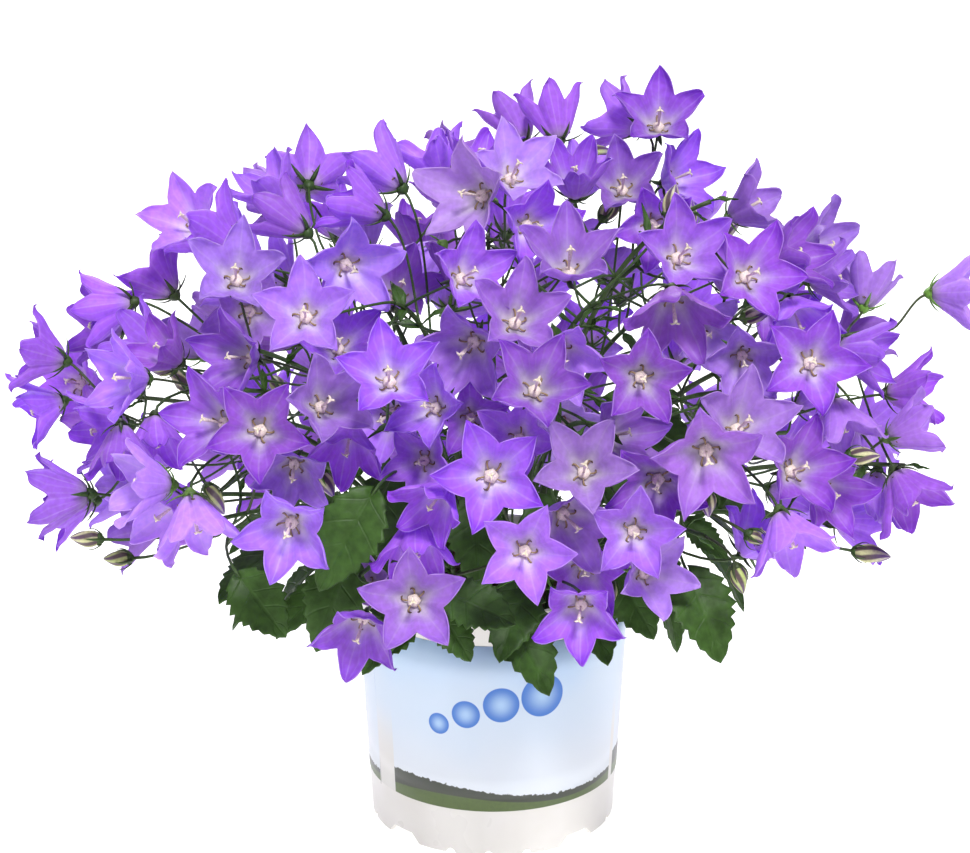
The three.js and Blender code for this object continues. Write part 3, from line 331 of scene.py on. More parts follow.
def isClear(centres, radii, rootOwner=-1, root=None):
    if not clearOfPot(centres, radii):
        return False
    count = placed["count"]
    others, otherRadii = placed["centres"][:count], placed["radii"][:count]
    middle = centres.mean(axis=0)
    span = np.linalg.norm(centres - middle, axis=1).max() + radii.max() + growth["clearance"]
    near = np.flatnonzero(((others - middle) ** 2).sum(axis=1) < (span + otherRadii) ** 2)
    if rootOwner >= 0:
        ownRoot = placed["owners"][near] == rootOwner
        ownRoot &= np.linalg.norm(others[near] - root, axis=1) < growth["rootReach"]
        near = near[~ownRoot]
    gaps = ((centres[:, None] - others[near][None]) ** 2).sum(axis=2)
    reach = radii[:, None] + otherRadii[near][None] + growth["clearance"]
    return not np.any(gaps <= reach ** 2)


def curvePoint(stem, t):
    t = np.asarray(t, float)[..., None]
    foot, bend, end = stem["controls"]
    return (1 - t) ** 2 * foot + 2 * (1 - t) * t * bend + t ** 2 * end


def stemPath(bearing, rise, reach):
    out = outward(math.radians(bearing))
    flat = math.cos(math.radians(rise)) * reach
    end = np.array([out[0] * dome["across"] * flat, out[1] * dome["through"] * flat, 150.0])
    end[2] += math.sin(math.radians(rise)) * reach * dome["high"]
    foot = out * (45 * math.cos(math.radians(rise)) - 3)
    foot[2] = soil["top"] + growth["stemShoulder"]
    bend = foot + out * 8
    bend[2] = foot[2] + 0.75 * (end[2] - foot[2]) + 18
    return {"controls": (foot, bend, end), "out": out, "steps": growth["stemSteps"], "firstRing": 3}


def tuftPath(bearing, distance):
    out = outward(math.radians(bearing))
    foot = out * distance
    foot[2] = soil["top"] + growth["stemShoulder"]
    end = foot + out * 6 + np.array([0, 0, 26])
    bend = (foot + end) * 0.5 + np.array([0, 0, 4])
    return {"controls": (foot, bend, end), "out": out, "steps": growth["tuftSteps"], "firstRing": 2}


# A stem's four corners at each ring, from the foot in the soil up
def stemRings(stem):
    side = np.array([-stem["out"][1], stem["out"][0], 0.0])
    steps = stem["steps"]
    low, high = growth["stemRadius"]
    upright = np.array([0.0, 0.0, 1.0])
    bottom = stem["controls"][0].copy()
    bottom[2] = soil["top"] - soil["stemDepth"] + soil["fitGap"]
    rows = [(bottom, upright, low)]
    for k in range(steps + 1):
        t = k / steps
        ahead, behind = min(t + 0.0001, 1), max(t - 0.0001, 0)
        forward = upright if k == 0 else unit(curvePoint(stem, ahead) - curvePoint(stem, behind))
        rows.append((curvePoint(stem, t), forward, low + (high - low) * t))
    rings = []
    for centre, forward, radius in rows:
        across = np.cross(forward, side)
        turns = [k * math.pi / 2 for k in range(4)]
        quarters = [side * math.cos(turn) + across * math.sin(turn) for turn in turns]
        rings.append([centre + quarter * radius for quarter in quarters])
    return rings


# Where stalks spring from: the side faces of a stem's upper rings, and its end
def stemSprings(stem, owner):
    rings = stemRings(stem)
    steps = stem["steps"]
    faces = []
    for k in range(stem["firstRing"], len(rings) - 1):
        for j in range(4):
            after = (j + 1) % 4
            corners = [rings[k][j], rings[k][after], rings[k + 1][after], rings[k + 1][j]]
            faces.append(((k - 0.5) / steps, corners))
    faces.append((1.0, rings[-1]))
    springs = []
    for share, corners in faces:
        centre = sum(corners) * 0.25
        normal = unit(np.cross(corners[2] - corners[0], corners[3] - corners[1]))
        point = centre + normal * growth["rootLift"]
        springs.append({"owner": owner, "share": share, "point": point, "normal": normal})
    return springs


def stemBalls(stem):
    samples = curvePoint(stem, np.arange(201) / 200)
    length = np.linalg.norm(np.diff(samples, axis=0), axis=1).sum()
    count = math.ceil(length / 3)
    return curvePoint(stem, np.arange(count + 1) / count)


stems = [stemPath(*spray) for spray in sprays] + [tuftPath(*tuft) for tuft in tufts]
stemNames = [f"spray_{k + 1:02d}" for k in range(len(sprays))]
stemNames += [f"leaf_tuft_{k + 1:02d}" for k in range(len(tufts))]
for number, stem in enumerate(stems):
    balls = stemBalls(stem)
    place(balls, np.full(len(balls), growth["stemRadius"][0]), stemMark + number)
springs = [spring for number, stem in enumerate(stems) for spring in stemSprings(stem, number)]
springPoints = np.array([spring["point"] for spring in springs])
springNormals = np.array([spring["normal"] for spring in springs])
springOwners = np.array([spring["owner"] for spring in springs])
springFree = np.ones(len(springs), bool)
onSprays = springOwners < len(sprays)
parts = [[] for _ in stems]
counts = {"bell": 0, "bud": 0, "leaf": 0}


# The nearest stem face that a straight stalk can reach with nothing in its way
def findSpring(choice, end, forward, ownCentres, ownRadii, straightest):
    gaps = end - springPoints
    lengths = np.linalg.norm(gaps, axis=1)
    straightness = gaps @ forward / lengths
    leaving = (gaps * springNormals).sum(axis=1) / lengths
    crowd = np.array([len(parts[owner]) for owner in springOwners])
    shortest, longest = growth["stalkLength"]
    reachable = choice & springFree & (lengths > shortest) & (lengths < longest)
    reachable &= (straightness > straightest) & (leaving > growth["leaving"])
    cost = lengths * (1.7 - 0.5 * straightness - 0.2 * leaving) + 2.5 * crowd
    order = np.flatnonzero(reachable)
    order = order[np.argsort(cost[order], kind="stable")]
    for number in order[: growth["springsTried"]]:
        steps = math.ceil(lengths[number] / 3)
        balls = end + (springPoints[number] - end) * (np.arange(1, steps + 1) / steps)[:, None]
        radii = np.ones(steps)
        gap = np.linalg.norm(balls[1:, None] - ownCentres[None], axis=2)
        clearOfOwn = np.all(gap > ownRadii[None] + 1)
        if clearOfOwn and isClear(balls, radii, stemMark + springOwners[number], springPoints[number]):
            return number, balls, radii
    return None


def tryPart(part, centres, radii, choice, straightest):
    if not isClear(centres, radii):
        return False
    found = findSpring(choice, part["base"], part["axis"], centres[1:], radii[1:], straightest)
    if not found:
        return False
    number, balls, ballRadii = found
    owner = springOwners[number]
    springFree[number] = False
    place(np.concatenate([centres, balls]), np.concatenate([radii, ballRadii]), owner)
    parts[owner].append({**part, "spring": springs[number]})
    counts[part["kind"]] += 1
    return True


def tryBell(base, axis, turn, opened, size):
    bell = {"kind": "bell", "base": base, "axis": axis, "turn": turn, "opened": opened, "size": size}
    return tryPart(bell, *bellBalls(bell), onSprays, growth["straightestBell"])


def tryBud(base, axis, length):
    bud = {"kind": "bud", "base": base, "axis": axis, "length": length}
    return tryPart(bud, *budBalls(bud), onSprays, growth["straightestBell"])


def tryLeaf(base, way, face, length, width, choice):
    level = unit(face - way * face.dot(way))
    leaf = {"kind": "leaf", "base": base, "axis": way, "face": level, "length": length, "width": width}
    return tryPart(leaf, *leafBalls(leaf), choice, growth["straightestLeaf"])


# A part slides in from the dome's surface along the line of sight until it finds room
def slideIn(right, up, depth, attempt):
    start = growth["slideFrom"]
    while start > growth["slideStop"] and not insideDome(shownPoint(right, up, start)):
        start -= 3
    if start <= growth["slideStop"]:
        start = 0
    for slid in range(0, depth + 1, 4):
        if attempt(shownPoint(right, up, start - slid)):
            return


def growPlant():
    for right, up, toRight, toTop, toNear, turn, opened, size in outlyingBells + shownBells:
        axis = shownWay(toRight, toTop, toNear)
        slideIn(right, up, growth["slideBell"], lambda base: tryBell(base, axis, turn, opened, size))
    for right, up, toRight, toTop, toNear, length in shownBuds:
        axis = shownWay(toRight, toTop, toNear)
        slideIn(right, up, growth["slideBud"], lambda base: tryBud(base, axis, length))
    everywhere = np.ones(len(springs), bool)
    for right, up, toRight, toTop, toNear, *faceWay, length, width in shownLeaves:
        way = shownWay(toRight, toTop, toNear)
        face = shownWay(*faceWay)
        size = length, width
        slideIn(right, up, growth["slideLeaf"],
            lambda base: tryLeaf(base, way, face, *size, everywhere))
    for _ in range(growth["bellTries"]):
        if counts["bell"] >= growth["bells"]:
            break
        base = domePoint(2 * math.pi * random(), -0.6 + 1.6 * random(), 1 - 0.32 * random() ** 2)
        stray = np.array([random() - 0.5, random() - 0.5, random() - 0.35])
        axis = unit(unit(base - picture["middle"]) + stray)
        turn, opened, size = 72 * random(), 0.6 + 0.4 * random(), 0.88 + 0.2 * random()
        middle = base + axis * growth["fillMiddle"] - picture["middle"]
        if middle.dot(shownNear) < growth["fillNear"] or middle.dot(shownUp) > growth["fillUp"]:
            tryBell(base, axis, turn, opened, size)
    for _ in range(growth["leafTries"]):
        if counts["leaf"] >= growth["leaves"]:
            break
        bearing = 2 * math.pi * random()
        out = outward(bearing)
        base = out * (62 + 40 * random())
        base[2] = 124 + 45 * random()
        way = unit(out + np.array([random() - 0.5, random() - 0.5, -0.9 * random()]))
        length = 32 + 12 * random()
        tryLeaf(base, way, np.array([0.4 * out[0], 0.4 * out[1], 1.0]), length, 0.72 * length,
            ~onSprays)
    for _ in range(growth["budTries"]):
        if counts["bud"] >= growth["buds"]:
            break
        base = domePoint(2 * math.pi * random(), -0.4 + 1.4 * random(), 1.04 - 0.2 * random())
        stray = np.array([random() - 0.5, random() - 0.5, random() - 0.5])
        axis = unit(unit(base - picture["middle"]) + stray)
        tryBud(base, axis, 11 + 7 * random())


growPlant()
print("stage: plant laid out,", counts, "with", placed["count"], "balls")


# Pieces are gathered here by node: points in millimetres, faces of four point numbers (a number
# twice in a row makes a triangle), the material, and two marks on every point. marks holds the
# place across and along a petal or leaf and 1 on its inner side; tone holds lightness, hue and a
# number of its own for each flower.
gathered = {}


def gather(node, points, faces, material, marks, tone):
    empty = {"points": [], "faces": [], "material": [], "marks": [], "tone": [], "count": 0}
    store = gathered.setdefault(node, empty)
    points = np.reshape(points, (-1, 3))
    store["points"].append(points)
    store["faces"].append(np.reshape(faces, (-1, 4)) + store["count"])
    store["material"].append(np.full(len(np.reshape(faces, (-1, 4))), material))
    store["marks"].append(np.broadcast_to(marks, points.shape))
    store["tone"].append(np.broadcast_to(tone, points.shape))
    store["count"] += len(points)


# Many copies of one template, each with its own points: points is (copies, points, 3)
def gatherCopies(owners, points, faces, material, marks, tones):
    size = points.shape[1]
    marks = np.broadcast_to(marks, points.shape)
    tones = np.broadcast_to(np.reshape(tones, (-1, 1, 3)), points.shape)
    for owner in np.unique(owners):
        own = np.flatnonzero(owners == owner)
        ownFaces = faces[None] + (np.arange(len(own)) * size)[:, None, None]
        ownMarks, ownTones = marks[own].reshape(-1, 3), tones[own].reshape(-1, 3)
        gather(stemNames[owner], points[own], ownFaces, material, ownMarks, ownTones)


# Joins a table of point numbers into faces: neighbours along both its sides
def gridFaces(ids):
    corners = [ids[:-1, :-1], ids[:-1, 1:], ids[1:, 1:], ids[1:, :-1]]
    return np.stack(corners, axis=-1).reshape(-1, 4)


# The points that a grid keeps once points of one number are the same, and the grid renumbered
def weld(ids):
    kept, numbers = np.unique(ids, return_inverse=True)
    return kept, numbers.reshape(ids.shape)


# A profile carried round an axis that it starts and ends on: each end is one point, and the last
# column joins the first
def turnedFaces(points):
    ids = np.arange(points.shape[0] * points.shape[1]).reshape(points.shape[:2])
    ids[0], ids[-1] = ids[0, 0], ids[-1, 0]
    kept, numbers = weld(ids)
    numbers = np.concatenate([numbers, numbers[:, :1]], axis=1)
    return points.reshape(-1, 3)[kept], gridFaces(numbers)


# Gives a sheet its thickness: each point moves half of it along the sheet's own normal to either
# side, and the open edges are joined across
def thicken(points, faces, thickness):
    count = points.shape[1]
    first, second, third, fourth = (points[:, faces[:, corner]] for corner in range(4))
    flat = np.cross(third - first, fourth - second)
    normals = np.zeros_like(points)
    for corner in range(4):
        np.add.at(normals, (slice(None), faces[:, corner]), flat)
    normals /= np.linalg.norm(normals, axis=2, keepdims=True) + 1e-9
    edges = np.concatenate([faces[:, [k, (k + 1) % 4]] for k in range(4)])
    edges = edges[edges[:, 0] != edges[:, 1]]
    codes = edges[:, 0] * count + edges[:, 1]
    back = edges[:, 1] * count + edges[:, 0]
    rim = edges[~np.isin(codes, back)]
    sides = np.stack([rim[:, 1], rim[:, 0], rim[:, 0] + count, rim[:, 1] + count], axis=1)
    outer, inner = points + normals * thickness / 2, points - normals * thickness / 2
    faces = np.concatenate([faces, faces[:, ::-1] + count, sides])
    return np.concatenate([outer, inner], axis=1), faces


# Closed tubes: a ring of points around each point of a path, square to the way it runs. radii is
# given along the path, or along it and around it; lateral says where the first point lies.
def makeTubes(paths, radii, sides, lateral=None, forward=None):
    copies, rows = paths.shape[:2]
    if forward is None:
        ways = unit(np.gradient(paths, axis=1))
    else:
        ways = np.broadcast_to(forward[:, None], paths.shape)
    if lateral is None:
        chord = unit(paths[:, -1] - paths[:, 0])
        helper = np.where(np.abs(chord[:, 2:]) < 0.8, [[0.0, 0.0, 1.0]], [[1.0, 0.0, 0.0]])
        lateral = np.cross(chord, helper)
    lateral = np.broadcast_to(lateral[:, None], paths.shape)
    first = unit(lateral - ways * (lateral * ways).sum(axis=2, keepdims=True))
    second = np.cross(ways, first)
    angles = np.arange(sides) * 2 * math.pi / sides
    radii = np.asarray(radii, float)
    if radii.ndim < 3:
        radii = np.broadcast_to(radii, (copies, rows))[..., None]
    cosines, sines = np.cos(angles)[:, None], np.sin(angles)[:, None]
    around = first[:, :, None] * cosines + second[:, :, None] * sines
    rings = paths[:, :, None] + around * radii[..., None]
    points = np.concatenate([rings.reshape(copies, -1, 3), paths[:, :1], paths[:, -1:]], axis=1)
    ids = np.arange(rows * sides).reshape(rows, sides)
    ids = np.concatenate([ids, ids[:, :1]], axis=1)
    lowEnd, highEnd = np.full(sides, rows * sides), np.full(sides, rows * sides + 1)
    lowCap = np.stack([ids[0, 1:], ids[0, :-1], lowEnd, lowEnd], axis=1)
    highCap = np.stack([ids[-1, :-1], ids[-1, 1:], highEnd, highEnd], axis=1)
    return points, np.concatenate([gridFaces(ids), lowCap, highCap])


# Marks for tubes: how far along the path each point lies
def tubeMarks(rows, sides):
    along = np.concatenate([np.repeat(np.linspace(0, 1, rows), sides), [0, 1]])
    around = np.concatenate([np.tile(np.arange(sides) / sides, rows), [0, 0]])
    return np.stack([around, along, np.zeros_like(along)], axis=1)


def cubic(controls, t):
    a, b, c, d = (np.asarray(control, float)[..., None, :] for control in controls)
    t = np.asarray(t)[:, None]
    return (1 - t) ** 3 * a + 3 * (1 - t) ** 2 * t * b + 3 * (1 - t) * t * t * c + t ** 3 * d


draws = np.random.default_rng(7)


# Parts of one kind, each with the number of its stem
def ownedParts(kind):
    return [(owner, part) for owner, own in enumerate(parts) for part in own if part["kind"] == kind]


def column(rows, key):
    return np.array([part[key] for _, part in rows], float)


bells, buds, leaves = ownedParts("bell"), ownedParts("bud"), ownedParts("leaf")
material = {"petal": 0, "green": 1, "cream": 2, "brown": 3, "bud": 4, "leaf": 5}

petals = {
    "columns": 11, "tubeRows": 6, "lobeRows": 8, "rowSpacing": 0.85, "thickness": 0.4,
    "foldPower": 1.8, "foot": (1.3, 0.0),
    "middleHandles": ((4.9, 0.6), (8.2, 7.5)), "notchHandles": ((3.9, 0.8), (6.8, 8.0)),
    "rise": 38.0, "recurve": 88.0, "handle": 0.42, "flatten": 1.2, "lengthStray": 0.09,
    "skew": 1.7, "ripple": 1.0, "roll": 4.5, "groove": 1.1, "broad": 0.42, "point": 1.06,
    "longer": 1.14,
}

bellOwners = np.array([owner for owner, _ in bells])
bellBase, bellAxis = column(bells, "base"), column(bells, "axis")
bellSize, bellOpened, bellTurn = column(bells, "size"), column(bells, "opened"), column(bells, "turn")
bellRight, bellTop = allSideways(bellAxis)
bellTone = draws.random((len(bells), 3))


# From a bell's own place (out from its axis, around it, up it) to the plant's
def fromBell(out, angle, height):
    shape = (-1,) + (1,) * (np.ndim(out) - 1)
    x, y = out * np.cos(angle), out * np.sin(angle)
    frames = bellRight, bellTop, bellAxis, bellBase
    right, top, axis, base = (value.reshape(shape + (3,)) for value in frames)
    return base + right * x[..., None] + top * y[..., None] + axis * height[..., None]


# A corolla of five lobes on a grid. Up the tube, each row is an arc whose radius and height run
# from the lobe's middle line to the notch line by the power foldPower of the place across. Past
# the notches, a row is the tube's last row narrowed towards the tip and carried along the lobe's
# curved middle line.
def makeCorollas():
    count = len(bells)
    across = np.linspace(-1, 1, petals["columns"])
    fold = np.abs(across) ** petals["foldPower"]
    tube = np.linspace(0, 1, petals["tubeRows"] + 1)
    lobe = np.linspace(0, 1, petals["lobeRows"] + 1)[1:] ** petals["rowSpacing"]
    outline = bellOutline(bellOpened[:, None], 1.0)
    keel, notch, tip = (np.concatenate(outline[name], axis=1) for name in ("keel", "notch", "tip"))
    tip = keel + (tip - keel) * petals["longer"]
    foot = np.broadcast_to(petals["foot"], (count, 2))

    def tubeLine(low, high, end):
        return cubic((foot, foot + low, np.broadcast_to(high, foot.shape), end), tube)

    middleLine = tubeLine(*petals["middleHandles"], keel)
    notchLine = tubeLine(*petals["notchHandles"], notch)
    rows = middleLine[:, :, None] + (notchLine - middleLine)[:, :, None] * fold[:, None]
    tubeOut, tubeHeight = rows[..., 0][:, None], rows[..., 1][:, None]
    turned = math.radians(36) * across
    tubeOut = np.broadcast_to(tubeOut, (count, 5) + tubeOut.shape[2:])
    tubeHeight = np.broadcast_to(tubeHeight, tubeOut.shape)
    lengths = 1 + petals["lengthStray"] * draws.uniform(-1, 1, (count, 5, 1))
    leave = unit(keel - petals["middleHandles"][1])
    reach = np.linalg.norm(tip - keel, axis=1, keepdims=True)
    own = 0.6 * draws.random((count, 1)) + 0.4 * draws.random((count, 5))
    droop = np.radians(petals["rise"] - petals["recurve"] * (0.3 + 0.8 * own))
    arrive = np.stack([np.cos(droop), np.sin(droop)], axis=-1)
    start, end, reach = keel[:, None] + 0 * arrive, tip[:, None] + 0 * arrive, reach[:, None]
    leaving = start + leave[:, None] * reach * petals["handle"]
    arriving = end - arrive * reach * petals["handle"]
    centre = cubic((start, leaving, arriving, end), lobe) - start[:, :, None]
    centre = centre * lengths[..., None] + start[:, :, None]
    rest = (1 - lobe) ** petals["flatten"]
    width = (1 + petals["broad"] * lobe) * (1 - lobe) ** petals["point"]
    lastOut, lastHeight = tubeOut[:, :, -1:], tubeHeight[:, :, -1:]
    straight = lastOut * np.cos(turned)
    sidewaysReach = lastOut * np.sin(turned)
    keelOut = keel[:, None, None, :1]
    keelHeight = keel[:, None, None, 1:]
    lobeOut = centre[..., 0][..., None] + (straight - keelOut) * rest[:, None]
    lobeHeight = centre[..., 1][..., None] + (lastHeight - keelHeight) * rest[:, None]
    lateral = sidewaysReach * width[:, None]
    skew = petals["skew"] * draws.uniform(-1, 1, (count, 5, 1, 1))
    lateral = lateral + skew * (lobe ** 2)[:, None]
    swell = np.sin(math.pi * lobe)[:, None]
    lobeHeight = lobeHeight + petals["groove"] * swell * (np.abs(across) - 0.5)
    phase = draws.uniform(0, 2 * math.pi, (count, 5, 1, 1))
    waves = np.sin(phase + 5.5 * lobe[:, None] + 1.5 * across) * np.abs(across) ** 2
    roll = petals["roll"] * draws.uniform(-1, 1, (count, 5, 1, 1))
    roll = roll * across * lobe[:, None] * (1.3 - lobe[:, None])
    lobeHeight = lobeHeight + petals["ripple"] * waves * swell + roll
    out = np.concatenate([tubeOut, np.hypot(lobeOut, lateral)], axis=2)
    tubeAngle = np.broadcast_to(turned, tubeOut.shape)
    angle = np.concatenate([tubeAngle, np.arctan2(lateral, lobeOut)], axis=2)
    height = np.concatenate([tubeHeight, lobeHeight], axis=2)
    lobeTurn = np.radians(bellTurn[:, None] + 72 * np.arange(5))[..., None, None]
    size = bellSize[:, None, None, None]
    points = fromBell(out * size, angle + lobeTurn, height * size)
    rowsAll, columns = points.shape[2:4]
    ids = np.arange(5 * rowsAll * columns).reshape(5, rowsAll, columns)
    shared = petals["tubeRows"] + 1
    ids[:, :shared, -1] = np.roll(ids[:, :shared, 0], -1, axis=0)
    ids[:, -1] = ids[:, -1, :1]
    kept, numbers = weld(ids)
    faces = np.concatenate([gridFaces(numbers[lobeNumber]) for lobeNumber in range(5)])
    along = np.concatenate([0.5 * tube, 0.5 + 0.5 * lobe])
    marks = np.zeros((5, rowsAll, columns, 3))
    marks[..., 0] = np.abs(across)
    marks[..., 1] = along[:, None]
    marks = marks.reshape(-1, 3)[kept]
    sheet, faces = thicken(points.reshape(count, -1, 3)[:, kept], faces, petals["thickness"])
    marks = np.concatenate([marks, marks + [0, 0, 1]])
    gatherCopies(bellOwners, sheet, faces, material["petal"], marks, bellTone)


makeCorollas()
print("stage: corollas")

flower = {
    "sepalLength": 10.5, "sepalWidth": 0.95, "sepalRows": 6, "sepalSpread": 66.0, "calyxRadius": 2.9,
    "domeRadius": 2.7, "domeHeight": 3.4, "stamenRows": 6, "stamenRadius": 0.36, "stamenReach": 5.4,
    "styleLength": 15.5, "styleRadius": 0.5, "stigmaLength": 2.4,
}


def localTubes(outs, heights, angles, radii, sides, mark, bend=0.0):
    rows = outs.shape[-1]
    size = bellSize[:, None, None]
    paths = fromBell(outs * size, angles[..., None] + bend, heights * size).reshape(-1, rows, 3)
    away = fromBell(np.full(angles.shape, 5.0), angles + math.pi / 2,
        np.zeros(angles.shape)) - bellBase[:, None]
    radii = np.broadcast_to(np.asarray(radii, float), (rows,) if np.ndim(radii) < 2 else (rows, sides))
    shape = (len(bells), angles.shape[1], rows) + (() if radii.ndim == 1 else (sides,))
    scale = size if radii.ndim == 1 else size[..., None]
    radii = np.broadcast_to(radii * scale, shape).reshape((-1,) + shape[2:])
    points, faces = makeTubes(paths, radii, sides, lateral=away.reshape(-1, 3))
    owners = np.repeat(bellOwners, angles.shape[1])
    tones = np.repeat(bellTone, angles.shape[1], axis=0)
    gatherCopies(owners, points, faces, mark, tubeMarks(rows, sides), tones)


# The parts on each bell's axis and round it: calyx cup, needle sepals below the notches, cream
# disc, curled stamens, and the style with its three-armed tip
def makeFlowerParts():
    count = len(bells)

    def onAxis(profile, sides, mark, ribs=0.0):
        profile = np.array(profile, float)
        heights, radii = profile[:, 0], profile[:, 1]
        paths = bellBase[:, None] + bellAxis[:, None] * heights[:, None] * bellSize[:, None, None]
        angles = np.arange(sides) * 2 * math.pi / sides
        around = radii[:, None] * (1 + ribs * np.cos(5 * angles))
        radiiAll = around[None] * bellSize[:, None, None]
        points, faces = makeTubes(paths, radiiAll, sides, lateral=bellRight, forward=bellAxis)
        gatherCopies(bellOwners, points, faces, mark, tubeMarks(len(profile), sides), bellTone)

    cup = flower["calyxRadius"]
    calyx = [(-3.6, 0.7), (-2.9, 1.6), (-1.9, 2.4), (-0.9, cup), (0.0, cup * 0.96), (0.25, cup * 0.7)]
    onAxis(calyx, 10, material["green"], 0.08)
    disc, rise = flower["domeRadius"], flower["domeHeight"]
    pad = [(0.6, disc), (1.6, disc), (2.5, disc * 0.93), (rise * 0.9, disc * 0.62), (rise, disc * 0.2)]
    onAxis(pad, 10, material["cream"], 0.08)
    long, slim = flower["styleLength"], flower["styleRadius"]
    onAxis([(rise * 0.8, slim), (long * 0.45, slim * 0.95), (long * 0.72, slim * 1.5),
        (long * 0.93, slim * 1.8),
            (long, slim * 1.3)], 6, material["cream"])
    share = np.linspace(0, 1, 4)
    turns = np.radians(bellTurn[:, None] + 120 * np.arange(3))
    outs = np.broadcast_to(0.2 + flower["stigmaLength"] * share ** 1.1 * 0.8, (count, 3, 4))
    heights = np.broadcast_to(long - 0.4 + 1.5 * share - 2.0 * share ** 2.4, (count, 3, 4))
    localTubes(outs, heights, turns, [0.6, 0.55, 0.45, 0.2], 4, material["cream"])
    share = np.linspace(0, 1, flower["sepalRows"])
    stray = draws.uniform(-1, 1, (count, 5))
    turns = np.radians(bellTurn[:, None] + 36 + 72 * np.arange(5) + 7 * stray)
    spread = np.radians(flower["sepalSpread"] + 16 * draws.uniform(-1, 1, (count, 5)))[..., None]
    lengths = (flower["sepalLength"] * (1 + 0.13 * draws.uniform(-1, 1, (count, 5))))[..., None] * share
    curl = spread - 0.35 * share
    outs = 2.5 + lengths * np.sin(curl + 0.1)
    heights = -0.7 + lengths * np.cos(curl + 0.1) * 0.8
    taper = (1 - share) ** 0.7 * (1 + 0.4 * np.sin(math.pi * share)) + 0.06
    radii = flower["sepalWidth"] * taper[:, None] * np.array([1, 0.4, 1, 0.4])
    localTubes(outs, heights, turns, radii, 4, material["green"])
    share = np.linspace(0, 1, flower["stamenRows"])
    turns = np.radians(bellTurn[:, None] + 72 * np.arange(5) + 12 * draws.uniform(-1, 1, (count, 5)))
    reach = flower["stamenReach"] * (1 + 0.12 * draws.uniform(-1, 1, (count, 5)))[..., None]
    outs = disc * 0.8 + (reach - disc * 0.8) * np.sin(share * 2.0)
    heights = np.broadcast_to(1.9 + 2.6 * share * (1.25 - share), outs.shape)
    radii = flower["stamenRadius"] * np.array([0.7, 1.0, 1.2, 1.3, 1.15, 0.5])
    bend = share ** 2 * 0.4 * np.where(draws.random((count, 5, 1)) > 0.3, 1, -1)
    localTubes(outs, heights, turns, radii, 4, material["brown"], bend)


makeFlowerParts()
print("stage: calyces, stamens and styles")

green = {"stemRings": 34, "stemSides": 10, "stalkRings": 11, "stalkSides": 6, "stalkRadius": 0.6,
         "stemRadii": (1.4, 0.95), "leave": 0.2, "arrive": 0.26, "swell": 0.12}


# Stems follow the solids' own curves; stalks leave the stem square to it and reach their bell,
# bud or leaf along its axis, on a cubic curve
def makeStems():
    share = np.linspace(0, 1, green["stemRings"])
    for number, stem in enumerate(stems):
        path = curvePoint(stem, share)
        bottom = path[0] * [1, 1, 0] + [0, 0, soil["top"] - soil["stemDepth"] + soil["fitGap"]]
        path = np.concatenate([bottom[None], path])[None]
        low, high = green["stemRadii"]
        knots = 1 + green["swell"] * np.maximum(0, np.cos(share * stem["steps"] * 2 * math.pi)) ** 6
        radii = np.concatenate([[low], (low + (high - low) * share) * knots])
        points, faces = makeTubes(path, radii, green["stemSides"])
        marks = tubeMarks(green["stemRings"] + 1, green["stemSides"])
        gather(stemNames[number], points, faces, material["green"], marks,
            [0.1, number / len(stems), 0.3])
    rows = bells + buds + leaves
    owners = np.array([owner for owner, _ in rows])
    ends, axes = column(rows, "base"), column(rows, "axis")
    starts = np.array([curvePoint(stems[owner], part["spring"]["share"]) for owner, part in rows])
    normals = np.array([part["spring"]["normal"] for _, part in rows])
    lengths = np.linalg.norm(ends - starts, axis=1, keepdims=True)
    leaving = starts + normals * lengths * green["leave"]
    arriving = ends - axes * lengths * green["arrive"]
    paths = cubic((starts, leaving, arriving, ends), np.linspace(0, 1, green["stalkRings"]))
    radii = green["stalkRadius"] * (1 + 0.25 * np.linspace(-1, 1, green["stalkRings"]) ** 4)
    points, faces = makeTubes(paths, radii, green["stalkSides"])
    tones = np.stack([np.full(len(rows), 0.2), draws.random(len(rows)), draws.random(len(rows))],
        axis=1)
    gatherCopies(owners, points, faces, material["green"],
        tubeMarks(green["stalkRings"], green["stalkSides"]), tones)


makeStems()

bud = {
    "rows": 16, "sides": 20, "radius": 3.7, "pleat": 0.09, "twist": 1.1, "sepalLength": 7.5,
    "sepalWidth": 0.8, "sepalRows": 6, "sepalSides": 4, "calyxSides": 10,
    "calyx": [(-1.2, 0.7), (-0.5, 1.6), (0.5, 2.5), (1.6, 2.9), (2.4, 2.3)],  # height and radius
}


